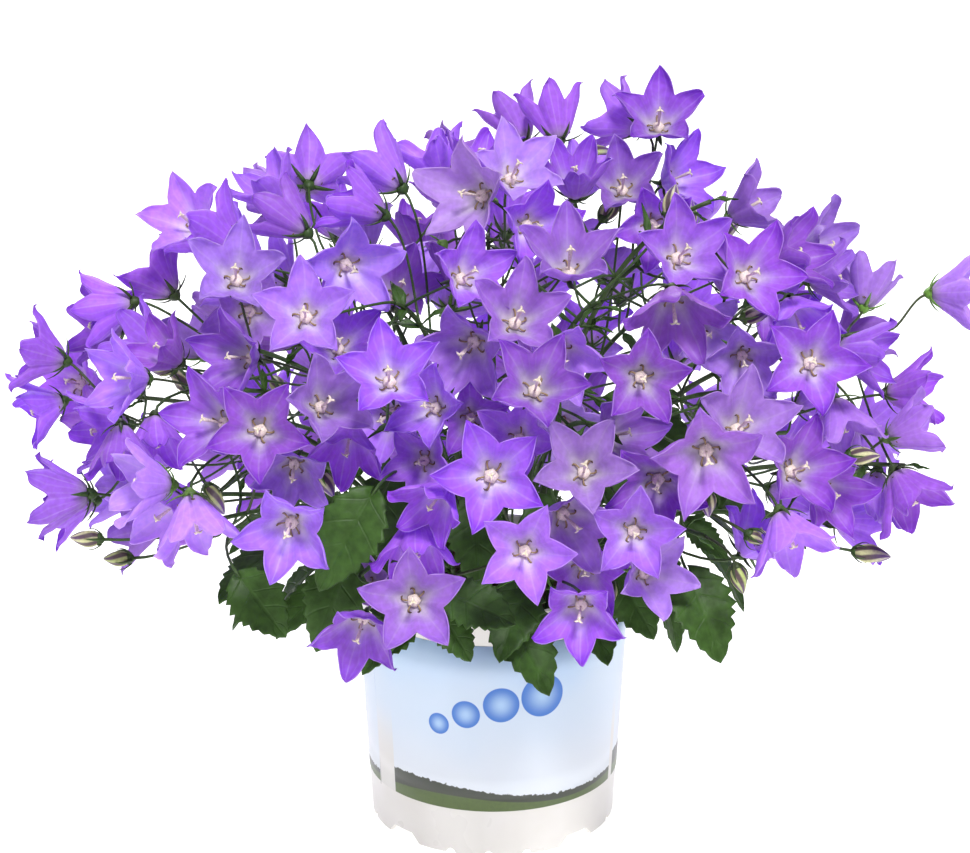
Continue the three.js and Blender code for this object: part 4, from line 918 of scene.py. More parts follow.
# A bud is a spindle with five pleats that turn a little about its axis; five sepals hold its foot
def makeBuds():
    owners = np.array([owner for owner, _ in buds])
    base, axis, length = column(buds, "base"), column(buds, "axis"), column(buds, "length")
    tones = draws.random((len(buds), 3))
    share = np.linspace(0, 1, bud["rows"])
    paths = base[:, None] + axis[:, None] * (share[:, None] * length[:, None, None])
    angles = np.arange(bud["sides"]) * 2 * math.pi / bud["sides"]
    thick = bud["radius"] * np.sin(math.pi * (0.03 + 0.95 * share) ** 0.8) ** 0.8
    waves = np.cos(5 * (angles[None] + bud["twist"] * share[:, None]))
    pleats = 1 + bud["pleat"] * waves * np.sin(math.pi * share)[:, None]
    radii = (thick[:, None] * pleats)[None] * (length / 15)[:, None, None] ** 0.5
    points, faces = makeTubes(paths, radii, bud["sides"], forward=axis)
    marks = tubeMarks(bud["rows"], bud["sides"])
    turned = marks[:, 0] * 5 + bud["twist"] * 5 / 2 / math.pi * marks[:, 1]
    marks[:, 0] = np.abs((turned % 1) - 0.5) * 2
    gatherCopies(owners, points, faces, material["bud"], marks, tones)
    share = np.linspace(0, 1, bud["sepalRows"])
    right, top = allSideways(axis)
    turns = 2 * math.pi * (np.arange(5)[None] / 5 + tones[:, :1])
    away = right[:, None] * np.cos(turns)[..., None] + top[:, None] * np.sin(turns)[..., None]
    outs = (2.2 + 2.6 * np.sin(share * 2.6))[:, None]
    rises = axis[:, None, None] * (share * bud["sepalLength"])[:, None]
    paths = base[:, None, None] + away[:, :, None] * outs + rises
    radii = bud["sepalWidth"] * ((1 - share) ** 0.7 + 0.05)[:, None] * np.array([1, 0.4, 1, 0.4])
    radii = np.broadcast_to(radii, (len(buds) * 5, bud["sepalRows"], bud["sepalSides"]))
    lateral = np.cross(axis[:, None], away).reshape(-1, 3)
    points, faces = makeTubes(paths.reshape(-1, bud["sepalRows"], 3), radii, bud["sepalSides"],
        lateral=lateral)
    marks = tubeMarks(bud["sepalRows"], bud["sepalSides"])
    gatherCopies(np.repeat(owners, 5), points, faces, material["green"], marks,
        np.repeat(tones, 5, axis=0))
    cup = np.array(bud["calyx"])
    paths = base[:, None] + axis[:, None] * cup[:, :1]
    points, faces = makeTubes(paths, cup[:, 1], bud["calyxSides"], forward=axis)
    gatherCopies(owners, points, faces, material["green"], tubeMarks(len(cup), bud["calyxSides"]),
        tones)


makeBuds()

blade = {"rows": 33, "columns": 13, "teeth": 8, "toothDepth": 0.24, "thickness": 0.45, "quilt": 0.85,
    "wave": 1.3}


# A leaf blade on a grid along its midrib: its half-width is the solid's, cut into teeth at the
# margin; between the side veins it puffs up, and its margin waves
def makeBlades(owners, leafRows, grid, tones):
    rows, columns = grid
    base, way, face = column(leafRows, "base"), column(leafRows, "axis"), column(leafRows, "face")
    length, width = column(leafRows, "length")[:, None, None], column(leafRows, "width")[:, None, None]
    along = np.linspace(0.004, 1, rows)[:, None]
    across = np.linspace(-1, 1, columns)[None]
    half = leafHalfWidth(width, along)
    teeth = (along * blade["teeth"] * 1.06) % 1
    cut = 1 - blade["toothDepth"] * (1 - teeth) * np.abs(across) ** 4
    heart = 0.1 * length * np.abs(across) ** 2 * (1 - along) ** 5
    side = half * across * cut
    up = length * along - heart
    veins = along * blade["teeth"] - 1.9 * np.abs(across)
    quilt = blade["quilt"] * np.abs(np.sin(math.pi * veins)) * np.abs(across) * (1 - across ** 4)
    phase = 6.3 * tones[:, :1, None]
    waves = blade["wave"] * np.sin(phase + along * 7 + across) * across ** 2
    waves = waves * np.sin(math.pi * along)
    lift = leafForm["fold"] * np.abs(side) - leafForm["droop"] * up ** 2 / length + quilt + waves
    right = np.cross(way, face)
    points = base[:, None, None] + right[:, None, None] * side[..., None]
    points = points + way[:, None, None] * up[..., None] + face[:, None, None] * lift[..., None]
    ids = np.arange(rows * columns).reshape(rows, columns)
    ids[-1] = ids[-1, 0]
    kept, numbers = weld(ids)
    faces = gridFaces(numbers)
    marks = np.stack(np.broadcast_arrays(np.abs(across), along, 0.0), axis=-1).reshape(-1, 3)[kept]
    sheet, faces = thicken(points.reshape(len(leafRows), -1, 3)[:, kept], faces, blade["thickness"])
    marks = np.concatenate([marks, marks + [0, 0, 1]])
    gatherCopies(owners, sheet, faces, material["leaf"], marks, tones)


leafOwners = np.array([owner for owner, _ in leaves])
leafTones = draws.random((len(leaves), 3)) * [0.6, 1, 1]
makeBlades(leafOwners, leaves, (blade["rows"], blade["columns"]), leafTones)

bracts = {"perStem": 10, "length": (9, 18), "ratios": (0.14, 0.2, 0.45), "rows": 7, "columns": 5}


# Small stem leaves spring from free faces of every stem and look outwards and up
def makeBracts():
    rows, owners = [], []
    order = draws.permutation(np.flatnonzero(springFree))
    taken = np.zeros(len(stems), int)
    for number in order:
        spring = springs[number]
        if taken[spring["owner"]] >= bracts["perStem"]:
            continue
        taken[spring["owner"]] += 1
        way = unit(spring["normal"] + 0.5 * draws.uniform(-1, 1, 3) + [0, 0, 0.35])
        face = unit(np.array([0, 0, 1]) - way * way[2] + 1e-3)
        length = draws.uniform(*bracts["length"])
        base = spring["point"] - spring["normal"] * 0.6
        width = length * draws.choice(bracts["ratios"])
        leaf = {"base": base, "axis": way, "face": face, "length": length, "width": width}
        rows.append((spring["owner"], leaf))
        owners.append(spring["owner"])
    tones = draws.random((len(rows), 3)) * [0.55, 1, 1] + [0.45, 0, 0]
    makeBlades(np.array(owners), rows, (bracts["rows"], bracts["columns"]), tones)


makeBracts()
print("stage: stems, buds and leaves")


def hexColour(text):
    values = [int(text[k:k + 2], 16) / 255 for k in (1, 3, 5)]
    linear = [v / 12.92 if v <= 0.04045 else ((v + 0.055) / 1.055) ** 2.4 for v in values]
    return (*linear, 1.0)


smoothStep = {"interpolation_type": "SMOOTHSTEP"}
colourMix = {"data_type": "RGBA"}


# Adds one node with its settings. Inputs are given by name or number: each is a value, a hex
# colour, another node's output, or another node, which stands for its first output in use.
def addNode(tree, kind, inputs, **settings):
    node = tree.nodes.new("ShaderNode" + kind)
    for name, value in settings.items():
        setattr(node, name, value)
    for name, value in inputs.items():
        if isinstance(value, bpy.types.Node):
            value = next(socket for socket in value.outputs if socket.enabled)
        if isinstance(value, bpy.types.NodeSocket):
            tree.links.new(value, node.inputs[name])
        else:
            node.inputs[name].default_value = hexColour(value) if isinstance(value, str) else value
    return node


def newMaterial(name):
    made = bpy.data.materials.new(name)
    made.use_nodes = True
    made.node_tree.nodes.clear()
    return made, made.node_tree


# The marks and tone that every point carries
def readMarks(tree):
    marks = addNode(tree, "Attribute", {}, attribute_name="marks", attribute_type="GEOMETRY")
    tone = addNode(tree, "Attribute", {}, attribute_name="tone", attribute_type="GEOMETRY")
    parted = addNode(tree, "SeparateXYZ", {0: marks.outputs["Vector"]})
    toned = addNode(tree, "SeparateXYZ", {0: tone.outputs["Vector"]})
    return parted.outputs, toned.outputs


def closeMaterial(tree, shader):
    addNode(tree, "OutputMaterial", {"Surface": shader})


# Closes a small tissue's material: its grain makes lighter and darker specks, a little raised
def closeGrainy(tree, look, colour, grain):
    darkest, lightest = look["specks"]
    value = addNode(tree, "MapRange", {0: grain, 1: 0.3, 2: 0.7, 3: darkest, 4: lightest})
    colour = addNode(tree, "HueSaturation", {"Value": value, "Color": colour})
    relief = {"Strength": look["bump"], "Distance": look["bumpDepth"], "Height": grain}
    bump = addNode(tree, "Bump", relief)
    shine = addNode(tree, "BsdfPrincipled", {
        "Base Color": colour, "Roughness": look["roughness"], "IOR": 1.42, "Normal": bump})
    closeMaterial(tree, shine)


# rim is the pale colour of the veins and of the painted highlight along the lobes' margins
petalTissue = {
    "violet": "#c078f3", "deep": "#9843e2", "lilac": "#dab8fa", "throat": "#f2eaf4", "ray": "#dcc8f4",
    "rim": "#f0dcfc", "back": "#be80f0", "backFoot": "#c9bdd0", "roughness": 0.44, "through": 0.4,
    "sheen": 0.06, "mottle": 420.0, "veins": 5.0,
}


# Petal tissue, thin and moist, full of coloured sap: deep violet that lights up from behind, a
# pale throat that runs up each fold, fine paler veins, and a thin pale painted highlight along each
# lobe's margin
def makePetalMaterial():
    made, tree = newMaterial("petalTissue")
    (across, along, inside), (light, hue, own) = readMarks(tree)
    look = petalTissue
    place = addNode(tree, "TexCoord", {}).outputs["Object"]
    mottle = addNode(tree, "TexNoise", {"Vector": place, "Scale": look["mottle"], "Detail": 1.0})
    spread = addNode(tree, "MapRange", {0: along, 1: 0.4, 2: 1.0, 3: 0.0, 4: 1.0}, **smoothStep)
    body = addNode(tree, "Mix", {0: spread, 6: look["violet"], 7: look["deep"]}, **colourMix)
    paleness = addNode(tree, "MapRange", {0: light, 1: 0.4, 2: 1.0, 3: 0.0, 4: 0.85})
    body = addNode(tree, "Mix", {0: paleness, 6: body, 7: look["lilac"]}, **colourMix)
    fold = addNode(tree, "MapRange", {0: across, 1: 0.0, 2: 0.75, 3: 0.06, 4: -0.03}, **smoothStep)
    deepness = addNode(tree, "Math", {0: along, 1: fold}, operation="SUBTRACT")
    throat = addNode(tree, "MapRange", {0: deepness, 1: 0.1, 2: 0.46, 3: 0.95, 4: 0.0}, **smoothStep)
    ray = addNode(tree, "Mix", {0: throat, 6: look["ray"], 7: look["throat"]}, **colourMix)
    insideColour = addNode(tree, "Mix", {0: throat, 6: body, 7: ray}, **colourMix)
    backFoot = addNode(tree, "MapRange", {0: along, 1: 0.02, 2: 0.3, 3: 0.8, 4: 0.0}, **smoothStep)
    backBody = addNode(tree, "Mix", {0: 0.45, 6: body, 7: look["back"]}, **colourMix)
    back = addNode(tree, "Mix", {0: backFoot, 6: backBody, 7: look["backFoot"]}, **colourMix)
    sides = addNode(tree, "Mix", {0: inside, 6: back, 7: insideColour}, **colourMix)
    lines = addNode(tree, "Math", {0: across, 1: look["veins"] * math.pi}, operation="MULTIPLY")
    lines = addNode(tree, "Math", {0: lines}, operation="COSINE")
    lines = addNode(tree, "MapRange", {0: lines, 1: 0.5, 2: 1.0, 3: 0.0, 4: 0.1})
    midrib = addNode(tree, "MapRange", {0: across, 1: 0.0, 2: 0.07, 3: 0.12, 4: 0.0}, **smoothStep)
    lines = addNode(tree, "Math", {0: lines, 1: midrib}, operation="ADD")
    veined = addNode(tree, "Mix", {0: lines, 6: sides, 7: look["rim"]}, **colourMix)
    # Painted highlight: a thin pale line along the margin of each lobe, in the veins' pale colour
    edge = addNode(tree, "MapRange", {0: across, 1: 0.92, 2: 1.0, 3: 0.0, 4: 0.28}, **smoothStep)
    onLobe = addNode(tree, "MapRange", {0: along, 1: 0.5, 2: 0.55, 3: 0.0, 4: 1.0})
    edge = addNode(tree, "Math", {0: edge, 1: onLobe}, operation="MULTIPLY")
    withPaintedEdgeHighlight = addNode(tree, "Mix", {0: edge, 6: veined, 7: look["rim"]}, **colourMix)
    value = addNode(tree, "MapRange", {0: mottle, 1: 0.3, 2: 0.7, 3: 0.92, 4: 1.08})
    ownValue = addNode(tree, "MapRange", {0: own, 1: 0.0, 2: 1.0, 3: 0.82, 4: 1.14})
    value = addNode(tree, "Math", {0: value, 1: ownValue}, operation="MULTIPLY")
    turn = addNode(tree, "MapRange", {0: hue, 1: 0.0, 2: 1.0, 3: 0.492, 4: 0.506})
    colour = addNode(tree, "HueSaturation", {"Hue": turn, "Value": value, "Color": withPaintedEdgeHighlight})
    relief = addNode(tree, "Math", {0: lines, 1: mottle}, operation="ADD")
    bump = addNode(tree, "Bump", {"Strength": 0.35, "Distance": 0.0003, "Height": relief})
    shine = addNode(tree, "BsdfPrincipled", {
        "Base Color": colour, "Roughness": look["roughness"], "IOR": 1.42, "Specular IOR Level": 0.4,
            "Sheen Weight": look["sheen"],
        "Sheen Roughness": 0.4, "Normal": bump})
    through = addNode(tree, "BsdfTranslucent", {"Color": colour, "Normal": bump})
    both = addNode(tree, "MixShader", {0: look["through"], 1: shine, 2: through})
    closeMaterial(tree, both)
    return made


stemTissue = {
    "old": "#2b3f1c", "young": "#6f9f3e", "blush": "#3b3426", "grain": 900.0, "roughness": 0.5,
    "specks": (0.8, 1.25), "bump": 0.3, "bumpDepth": 0.0002,
}


# Living stem and calyx: matt waxy skin, nearly black green on old stems, fresh green on young ones
def makeGreenMaterial():
    made, tree = newMaterial("stemTissue")
    _, (light, hue, _) = readMarks(tree)
    look = stemTissue
    place = addNode(tree, "TexCoord", {}).outputs["Object"]
    grain = addNode(tree, "TexNoise", {"Vector": place, "Scale": look["grain"], "Detail": 2.0})
    young = addNode(tree, "MapRange", {0: light, 1: 0.55, 2: 1.0, 3: 0.1, 4: 1.0}, **smoothStep)
    colour = addNode(tree, "Mix", {0: young, 6: look["old"], 7: look["young"]}, **colourMix)
    blush = addNode(tree, "MapRange", {0: hue, 1: 0.5, 2: 1.0, 3: 0.0, 4: 0.5})
    colour = addNode(tree, "Mix", {0: blush, 6: colour, 7: look["blush"]}, **colourMix)
    closeGrainy(tree, look, colour, grain)
    return made


leafTissue = {"upper": "#102607", "fresh": "#4f8420", "vein": "#6b8b45", "under": "#3f5f27",
    "roughness": 0.46,
              "through": 0.14, "mottle": 260.0}


# Leaf blade: a waxy dark green upper side with paler veins, a dull grey-green underside
def makeLeafMaterial():
    made, tree = newMaterial("leafTissue")
    (across, along, inside), (light, _, _) = readMarks(tree)
    look = leafTissue
    place = addNode(tree, "TexCoord", {}).outputs["Object"]
    mottle = addNode(tree, "TexNoise", {"Vector": place, "Scale": look["mottle"], "Detail": 2.0})
    fresh = addNode(tree, "MapRange", {0: light, 1: 0.3, 2: 1.0, 3: 0.0, 4: 0.8})
    upper = addNode(tree, "Mix", {0: fresh, 6: look["upper"], 7: look["fresh"]}, **colourMix)
    runs = addNode(tree, "Math", {0: along, 1: float(blade["teeth"])}, operation="MULTIPLY")
    slope = addNode(tree, "Math", {0: across, 1: 1.9}, operation="MULTIPLY")
    runs = addNode(tree, "Math", {0: runs, 1: slope}, operation="SUBTRACT")
    near = addNode(tree, "Math", {0: runs, 1: 1.0}, operation="PINGPONG")
    ribs = addNode(tree, "MapRange", {0: near, 1: 0.0, 2: 0.16, 3: 0.7, 4: 0.0}, **smoothStep)
    midrib = addNode(tree, "MapRange", {0: across, 1: 0.02, 2: 0.1, 3: 0.8, 4: 0.0}, **smoothStep)
    veins = addNode(tree, "Math", {0: ribs, 1: midrib}, operation="MAXIMUM")
    veined = addNode(tree, "Mix", {0: veins, 6: upper, 7: look["vein"]}, **colourMix)
    sides = addNode(tree, "Mix", {0: inside, 6: look["under"], 7: veined}, **colourMix)
    value = addNode(tree, "MapRange", {0: mottle, 1: 0.3, 2: 0.7, 3: 0.75, 4: 1.2})
    colour = addNode(tree, "HueSaturation", {"Value": value, "Color": sides})
    relief = addNode(tree, "Math", {0: mottle, 1: veins}, operation="SUBTRACT")
    bump = addNode(tree, "Bump", {"Strength": 0.5, "Distance": 0.0005, "Height": relief})
    shine = addNode(tree, "BsdfPrincipled", {
        "Base Color": colour, "Roughness": look["roughness"], "IOR": 1.45, "Specular IOR Level": 0.3,
        "Normal": bump})
    through = addNode(tree, "BsdfTranslucent", {"Color": colour})
    both = addNode(tree, "MixShader", {0: look["through"], 1: shine, 2: through})
    closeMaterial(tree, both)
    return made


smallTissues = {
    "pistilTissue": {"low": "#e4dcc0", "high": "#eedccf", "grain": 1500.0, "roughness": 0.5},
    "witheredStamen": {"low": "#b09a74", "high": "#6a4d38", "grain": 2500.0, "roughness": 0.75},
}
smallRelief = {"specks": (0.8, 1.15), "bump": 0.4, "bumpDepth": 0.0002}


# Pistil and disc, fleshy and cream with a pink tip; spent stamens, dry and dark brown
def makeSmallMaterial(name):
    made, tree = newMaterial(name)
    (_, along, _), _ = readMarks(tree)
    look = {**smallTissues[name], **smallRelief}
    place = addNode(tree, "TexCoord", {}).outputs["Object"]
    grain = addNode(tree, "TexNoise", {"Vector": place, "Scale": look["grain"], "Detail": 2.0})
    colour = addNode(tree, "Mix", {0: along, 6: look["low"], 7: look["high"]}, **colourMix)
    closeGrainy(tree, look, colour, grain)
    return made


budSkin = {
    "fold": "#5b4a4d", "ridge": "#d8d3a4", "tip": "#7d45c4", "young": "#a9b86a", "roughness": 0.45,
    "grain": 900.0, "specks": (0.85, 1.12), "bump": 0.4, "bumpDepth": 0.0003,
}


# Bud skin: furled petals, cream and yellow-green ridges between purple-brown folds, violet towards
# the tip where the flower is nearly open
def makeBudMaterial():
    made, tree = newMaterial("budSkin")
    (across, along, _), (light, hue, _) = readMarks(tree)
    look = budSkin
    place = addNode(tree, "TexCoord", {}).outputs["Object"]
    grain = addNode(tree, "TexNoise", {"Vector": place, "Scale": look["grain"], "Detail": 3.0})
    stripe = addNode(tree, "MapRange", {0: across, 1: 0.35, 2: 0.75, 3: 0.0, 4: 1.0}, **smoothStep)
    ridge = addNode(tree, "Mix", {0: hue, 6: look["ridge"], 7: look["young"]}, **colourMix)
    colour = addNode(tree, "Mix", {0: stripe, 6: look["fold"], 7: ridge}, **colourMix)
    tip = addNode(tree, "MapRange", {0: along, 1: 0.45, 2: 1.0, 3: 0.0, 4: 0.7}, **smoothStep)
    tip = addNode(tree, "Math", {0: tip, 1: light}, operation="MULTIPLY")
    colour = addNode(tree, "Mix", {0: tip, 6: colour, 7: look["tip"]}, **colourMix)
    closeGrainy(tree, look, colour, grain)
    return made


plantMaterials = [makePetalMaterial(), makeGreenMaterial(), makeSmallMaterial("pistilTissue"),
                  makeSmallMaterial("witheredStamen"), makeBudMaterial(), makeLeafMaterial()]


# One mesh object from points and faces; a corner that repeats the next one is left out, which
# turns a four-cornered face into a triangle
def makePiece(name, points, faces, materials, materialIndex=None, marks=None, tone=None):
    mesh = bpy.data.meshes.new(name)
    keep = faces != np.roll(faces, -1, axis=1)
    totals = keep.sum(axis=1)
    whole = totals > 2
    faces, keep, totals = faces[whole], keep[whole], totals[whole]
    loops = faces[keep]
    mesh.vertices.add(len(points))
    mesh.vertices.foreach_set("co", (np.asarray(points) / 1000).astype(np.float32).ravel())
    mesh.loops.add(len(loops))
    mesh.loops.foreach_set("vertex_index", loops.astype(np.int32))
    mesh.polygons.add(len(faces))
    mesh.polygons.foreach_set("loop_start", np.concatenate([[0],
        np.cumsum(totals)[:-1]]).astype(np.int32))
    if materialIndex is not None:
        mesh.polygons.foreach_set("material_index", materialIndex[whole].astype(np.int32))
    for look in materials:
        mesh.materials.append(look)
    mesh.update(calc_edges=True)
    mesh.polygons.foreach_set("use_smooth", np.ones(len(faces), bool))
    for title, values in (("marks", marks), ("tone", tone)):
        if values is not None:
            held = mesh.attributes.new(title, "FLOAT_VECTOR", "POINT")
            held.data.foreach_set("vector", values.astype(np.float32).ravel())
    mesh.validate()
    made = bpy.data.objects.new(name, mesh)
    bpy.context.scene.collection.objects.link(made)
    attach(made, "root")
    return made


for node, store in gathered.items():
    arrays = {key: np.concatenate(store[key]) for key in ("points", "faces", "material", "marks",
        "tone")}
    made = makePiece(node + "_grown", arrays["points"], arrays["faces"], plantMaterials,
                     arrays["material"], arrays["marks"], arrays["tone"])
    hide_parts(node)
print("stage: plant meshes")


# The pot's outer wall leans out from its foot to its rim
def potOuter(height):
    share = height / pot["height"]
    return pot["footRadius"] + (pot["topRadius"] - pot["footRadius"]) * share


potLook = {"columns": 720, "rimRound": 0.8, "drainSides": 40, "floorRings": (42.0, 18.0),
    "crease": 40.0}


# A turned profile: each pair of radius and height is carried round the pot's axis; below the
# floor the height is lifted into low arches, the gaps between the feet, and small round nicks
def makePot():
    overhang = pot["topRadius"] + pot["rimOverhang"]
    floor, wall = pot["floorUnderside"], pot["wall"]
    top, under = pot["height"], pot["height"] - pot["rimDepth"]
    ring = pot["footRadius"] - pot["footRing"]
    corner = potLook["rimRound"]
    base = floor + pot["floorThickness"]
    wide, narrow = potLook["floorRings"]
    levels = (0.0, 0.5, 1.2, 2.4, 4.0, 8, 20, 40, 60, 80, 100, under - 1.2, under)
    outside = [(potOuter(z), z) for z in levels]
    outside[0] = (potOuter(0) - 0.5, 0.0)
    rim = [(overhang - 0.5, under), (overhang, under + 0.5), (overhang, top - corner),
        (overhang - 0.25, top - 0.25),
           (overhang - corner, top), (pot["topRadius"] - wall + 0.5, top),
               (pot["topRadius"] - wall, top - 0.5)]
    inside = [(potOuter(z) - wall, z) for z in (100, 60, 20, base + 1.5)]
    bottom = [(potOuter(floor) - wall - 1.5, base), (wide, base), (narrow, base), (0.0, base)]
    underside = [(0.0, floor), (narrow, floor), (wide, floor), (ring - 0.4, floor), (ring, floor - 0.5),
                 (ring, 3.4), (ring, 0.5), (ring + 0.5, 0.0)]
    profile = np.array(underside + outside + rim + inside + bottom)
    angles = np.arange(potLook["columns"]) * 2 * math.pi / potLook["columns"]
    lifts = np.zeros_like(angles)
    for foot in range(pot["feet"]):
        start = pot["gapBearing"] + 360 / pot["feet"] * foot
        for turn in (0.0,) + pot["nicksAt"]:
            away = (angles - math.radians(start + turn) + math.pi) % (2 * math.pi) - math.pi
            away = np.abs(away) * pot["footRadius"]
            slope = (pot["gapFoot"] / 2 - away) / (pot["gapFoot"] / 2 - pot["gapTop"] / 2)
            gap = pot["gapHeight"] * np.clip(slope, 0, 1)
            nick = np.sqrt(np.maximum(pot["nickRadius"] ** 2 - away ** 2, 0))
            lifts = np.maximum(lifts, nick if turn else gap)
    low = np.clip((floor - 0.6 - profile[:, 1]) / (floor - 0.6), 0, 1)[:, None]
    onFoot = profile[:, :1] > ring - 0.6
    heights = profile[:, 1:] + np.where(onFoot, low * lifts[None], 0)
    outs = profile[:, :1] + 0 * lifts[None]
    points = np.stack([outs * np.cos(angles), outs * np.sin(angles), heights], axis=-1)
    return turnedFaces(points)


potPlastic = {"body": "#e7e4df", "shade": "#dcd8d1", "roughness": 0.24, "coat": 0.35, "grain": 1400.0,
              "dust": 38.0}


# Moulded polypropylene: off-white, glossy from a polished mould, with a faint ripple and a little
# dust
def makePotMaterial():
    made, tree = newMaterial("mouldedPolypropylene")
    look = potPlastic
    place = addNode(tree, "TexCoord", {}).outputs["Object"]
    dust = addNode(tree, "TexNoise", {"Vector": place, "Scale": look["dust"], "Detail": 3.0})
    grain = addNode(tree, "TexNoise", {"Vector": place, "Scale": look["grain"], "Detail": 2.0})
    amount = addNode(tree, "MapRange", {0: dust, 1: 0.4, 2: 0.75, 3: 0.0, 4: 0.6})
    colour = addNode(tree, "Mix", {0: amount, 6: look["body"], 7: look["shade"]}, **colourMix)
    rough = addNode(tree, "MapRange", {0: dust, 1: 0.3, 2: 0.7, 3: look["roughness"],
        4: look["roughness"] + 0.12})
    bump = addNode(tree, "Bump", {"Strength": 0.05, "Distance": 0.0002, "Height": grain})
    shine = addNode(tree, "BsdfPrincipled", {
        "Base Color": colour, "Roughness": rough, "IOR": 1.49, "Coat Weight": look["coat"],
        "Coat Roughness": 0.12, "Normal": bump})
    closeMaterial(tree, shine)
    return made


# Holes through the floor, cut by upright cylinders that are then removed
def cutDrains(target):
    floor = pot["floorUnderside"]
    for foot in range(pot["feet"]):
        bearing = math.radians(pot["gapBearing"] + 360 / pot["feet"] * foot + pot["drainAt"])
        middle = outward(bearing) * pot["drainCircle"]
        ends = [middle + [0, 0, z] for z in (floor - 1, floor + pot["floorThickness"] + 1)]
        upright = np.array([[0, 0, 1.0]])
        points, faces = makeTubes(np.array([ends]), pot["drainRadius"], potLook["drainSides"],
            forward=upright)
        mesh = bpy.data.meshes.new("cutter")
        corners = [[c for c, d in zip(face, np.roll(face, -1)) if c != d] for face in faces.tolist()]
        mesh.from_pydata((points[0] / 1000).tolist(), [], corners)
        cutter = bpy.data.objects.new("cutter", mesh)
        bpy.context.scene.collection.objects.link(cutter)
        modifier = target.modifiers.new("drain", "BOOLEAN")
        modifier.object = cutter
        modifier.operation = "DIFFERENCE"
        bpy.context.view_layer.objects.active = target
        bpy.ops.object.modifier_apply(modifier="drain")
        bpy.data.objects.remove(cutter)


potPoints, potFaces = makePot()
potPiece = makePiece("pot_moulded", potPoints, potFaces, [makePotMaterial()])
cutDrains(potPiece)
potPiece.data.set_sharp_from_angle(angle=math.radians(potLook["crease"]))
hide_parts("pot")
print("stage: pot")

label = {"low": 22.5, "high": 102.5, "thickness": 0.22, "columns": 360, "rows": 6,
         "panels": 3, "panelFrom": -142.0}


# The label wraps the pot's wall: a sheet on a grid of bearing and height, just proud of it. Its
# own map is in millimetres, round the wall and up it, and starts again with each printed panel.
def makeLabel():
    turn = 360 / label["panels"]
    across = np.linspace(0, 360, label["columns"] + 1)
    up = np.linspace(label["low"], label["high"], label["rows"])
    turned, height = np.meshgrid(across, up)
    bearing = np.radians(turned + label["panelFrom"])
    out = potOuter(height) + label["thickness"] / 2 + 0.04
    points = np.stack([out * np.cos(bearing), out * np.sin(bearing), height], axis=-1)
    ids = np.arange(height.size).reshape(height.shape)
    ids[:, -1] = ids[:, 0]
    kept, numbers = weld(ids)
    faces = gridFaces(numbers)
    sheet, faces = thicken(points.reshape(1, -1, 3)[:, kept], faces, label["thickness"])
    made = makePiece("pot_label", sheet[0], faces, [makeLabelMaterial()])
    spots = np.zeros(len(made.data.loops), np.int32)
    made.data.loops.foreach_get("vertex_index", spots)
    starts = np.zeros(len(made.data.polygons), np.int32)
    totals = np.zeros(len(made.data.polygons), np.int32)
    made.data.polygons.foreach_get("loop_start", starts)
    made.data.polygons.foreach_get("loop_total", totals)
    x, y, z = sheet[0][spots].T
    angle = (np.degrees(np.arctan2(y, x)) - label["panelFrom"] + 0.001) % 360
    middle = np.repeat(np.add.reduceat(np.where(angle > 350, angle - 360, angle), starts) / totals,
        totals)
    fromMiddle = (angle - middle + 180) % 360 - 180
    panel = np.floor(np.maximum(middle, 0) / turn)
    aroundWall = np.radians(middle + fromMiddle - panel * turn) * pot["topRadius"]
    layer = made.data.uv_layers.new(name="printed")
    layer.data.foreach_set("uv", np.stack([aroundWall, z - label["low"]],
        axis=1).astype(np.float32).ravel())
    return made


labelPrint = {
    "skyTop": "#b6d4f6", "skyMiddle": "#cfdeef", "skyLow": "#dde3eb", "disc": "#2f72cc",
        "discMiddle": "#a9cbef",
    "meadow": "#5a6f30", "meadowLow": "#425628", "wood": "#31372a", "white": "#dfddd9",
        "roughness": 0.34,
    "discs": [  # round the wall and up it, and radius, in millimetres
        (30.0, 41.0, 5.0), (43.0, 47.0, 6.5), (59.0, 52.0, 8.2), (78.0, 55.0, 10.0),
    ],
    "panel": 2 * math.pi * pot["topRadius"] / label["panels"],
        # a printed panel's length, in millimetres
    "clouds": 0.025, "cloudLift": 24.0,
}


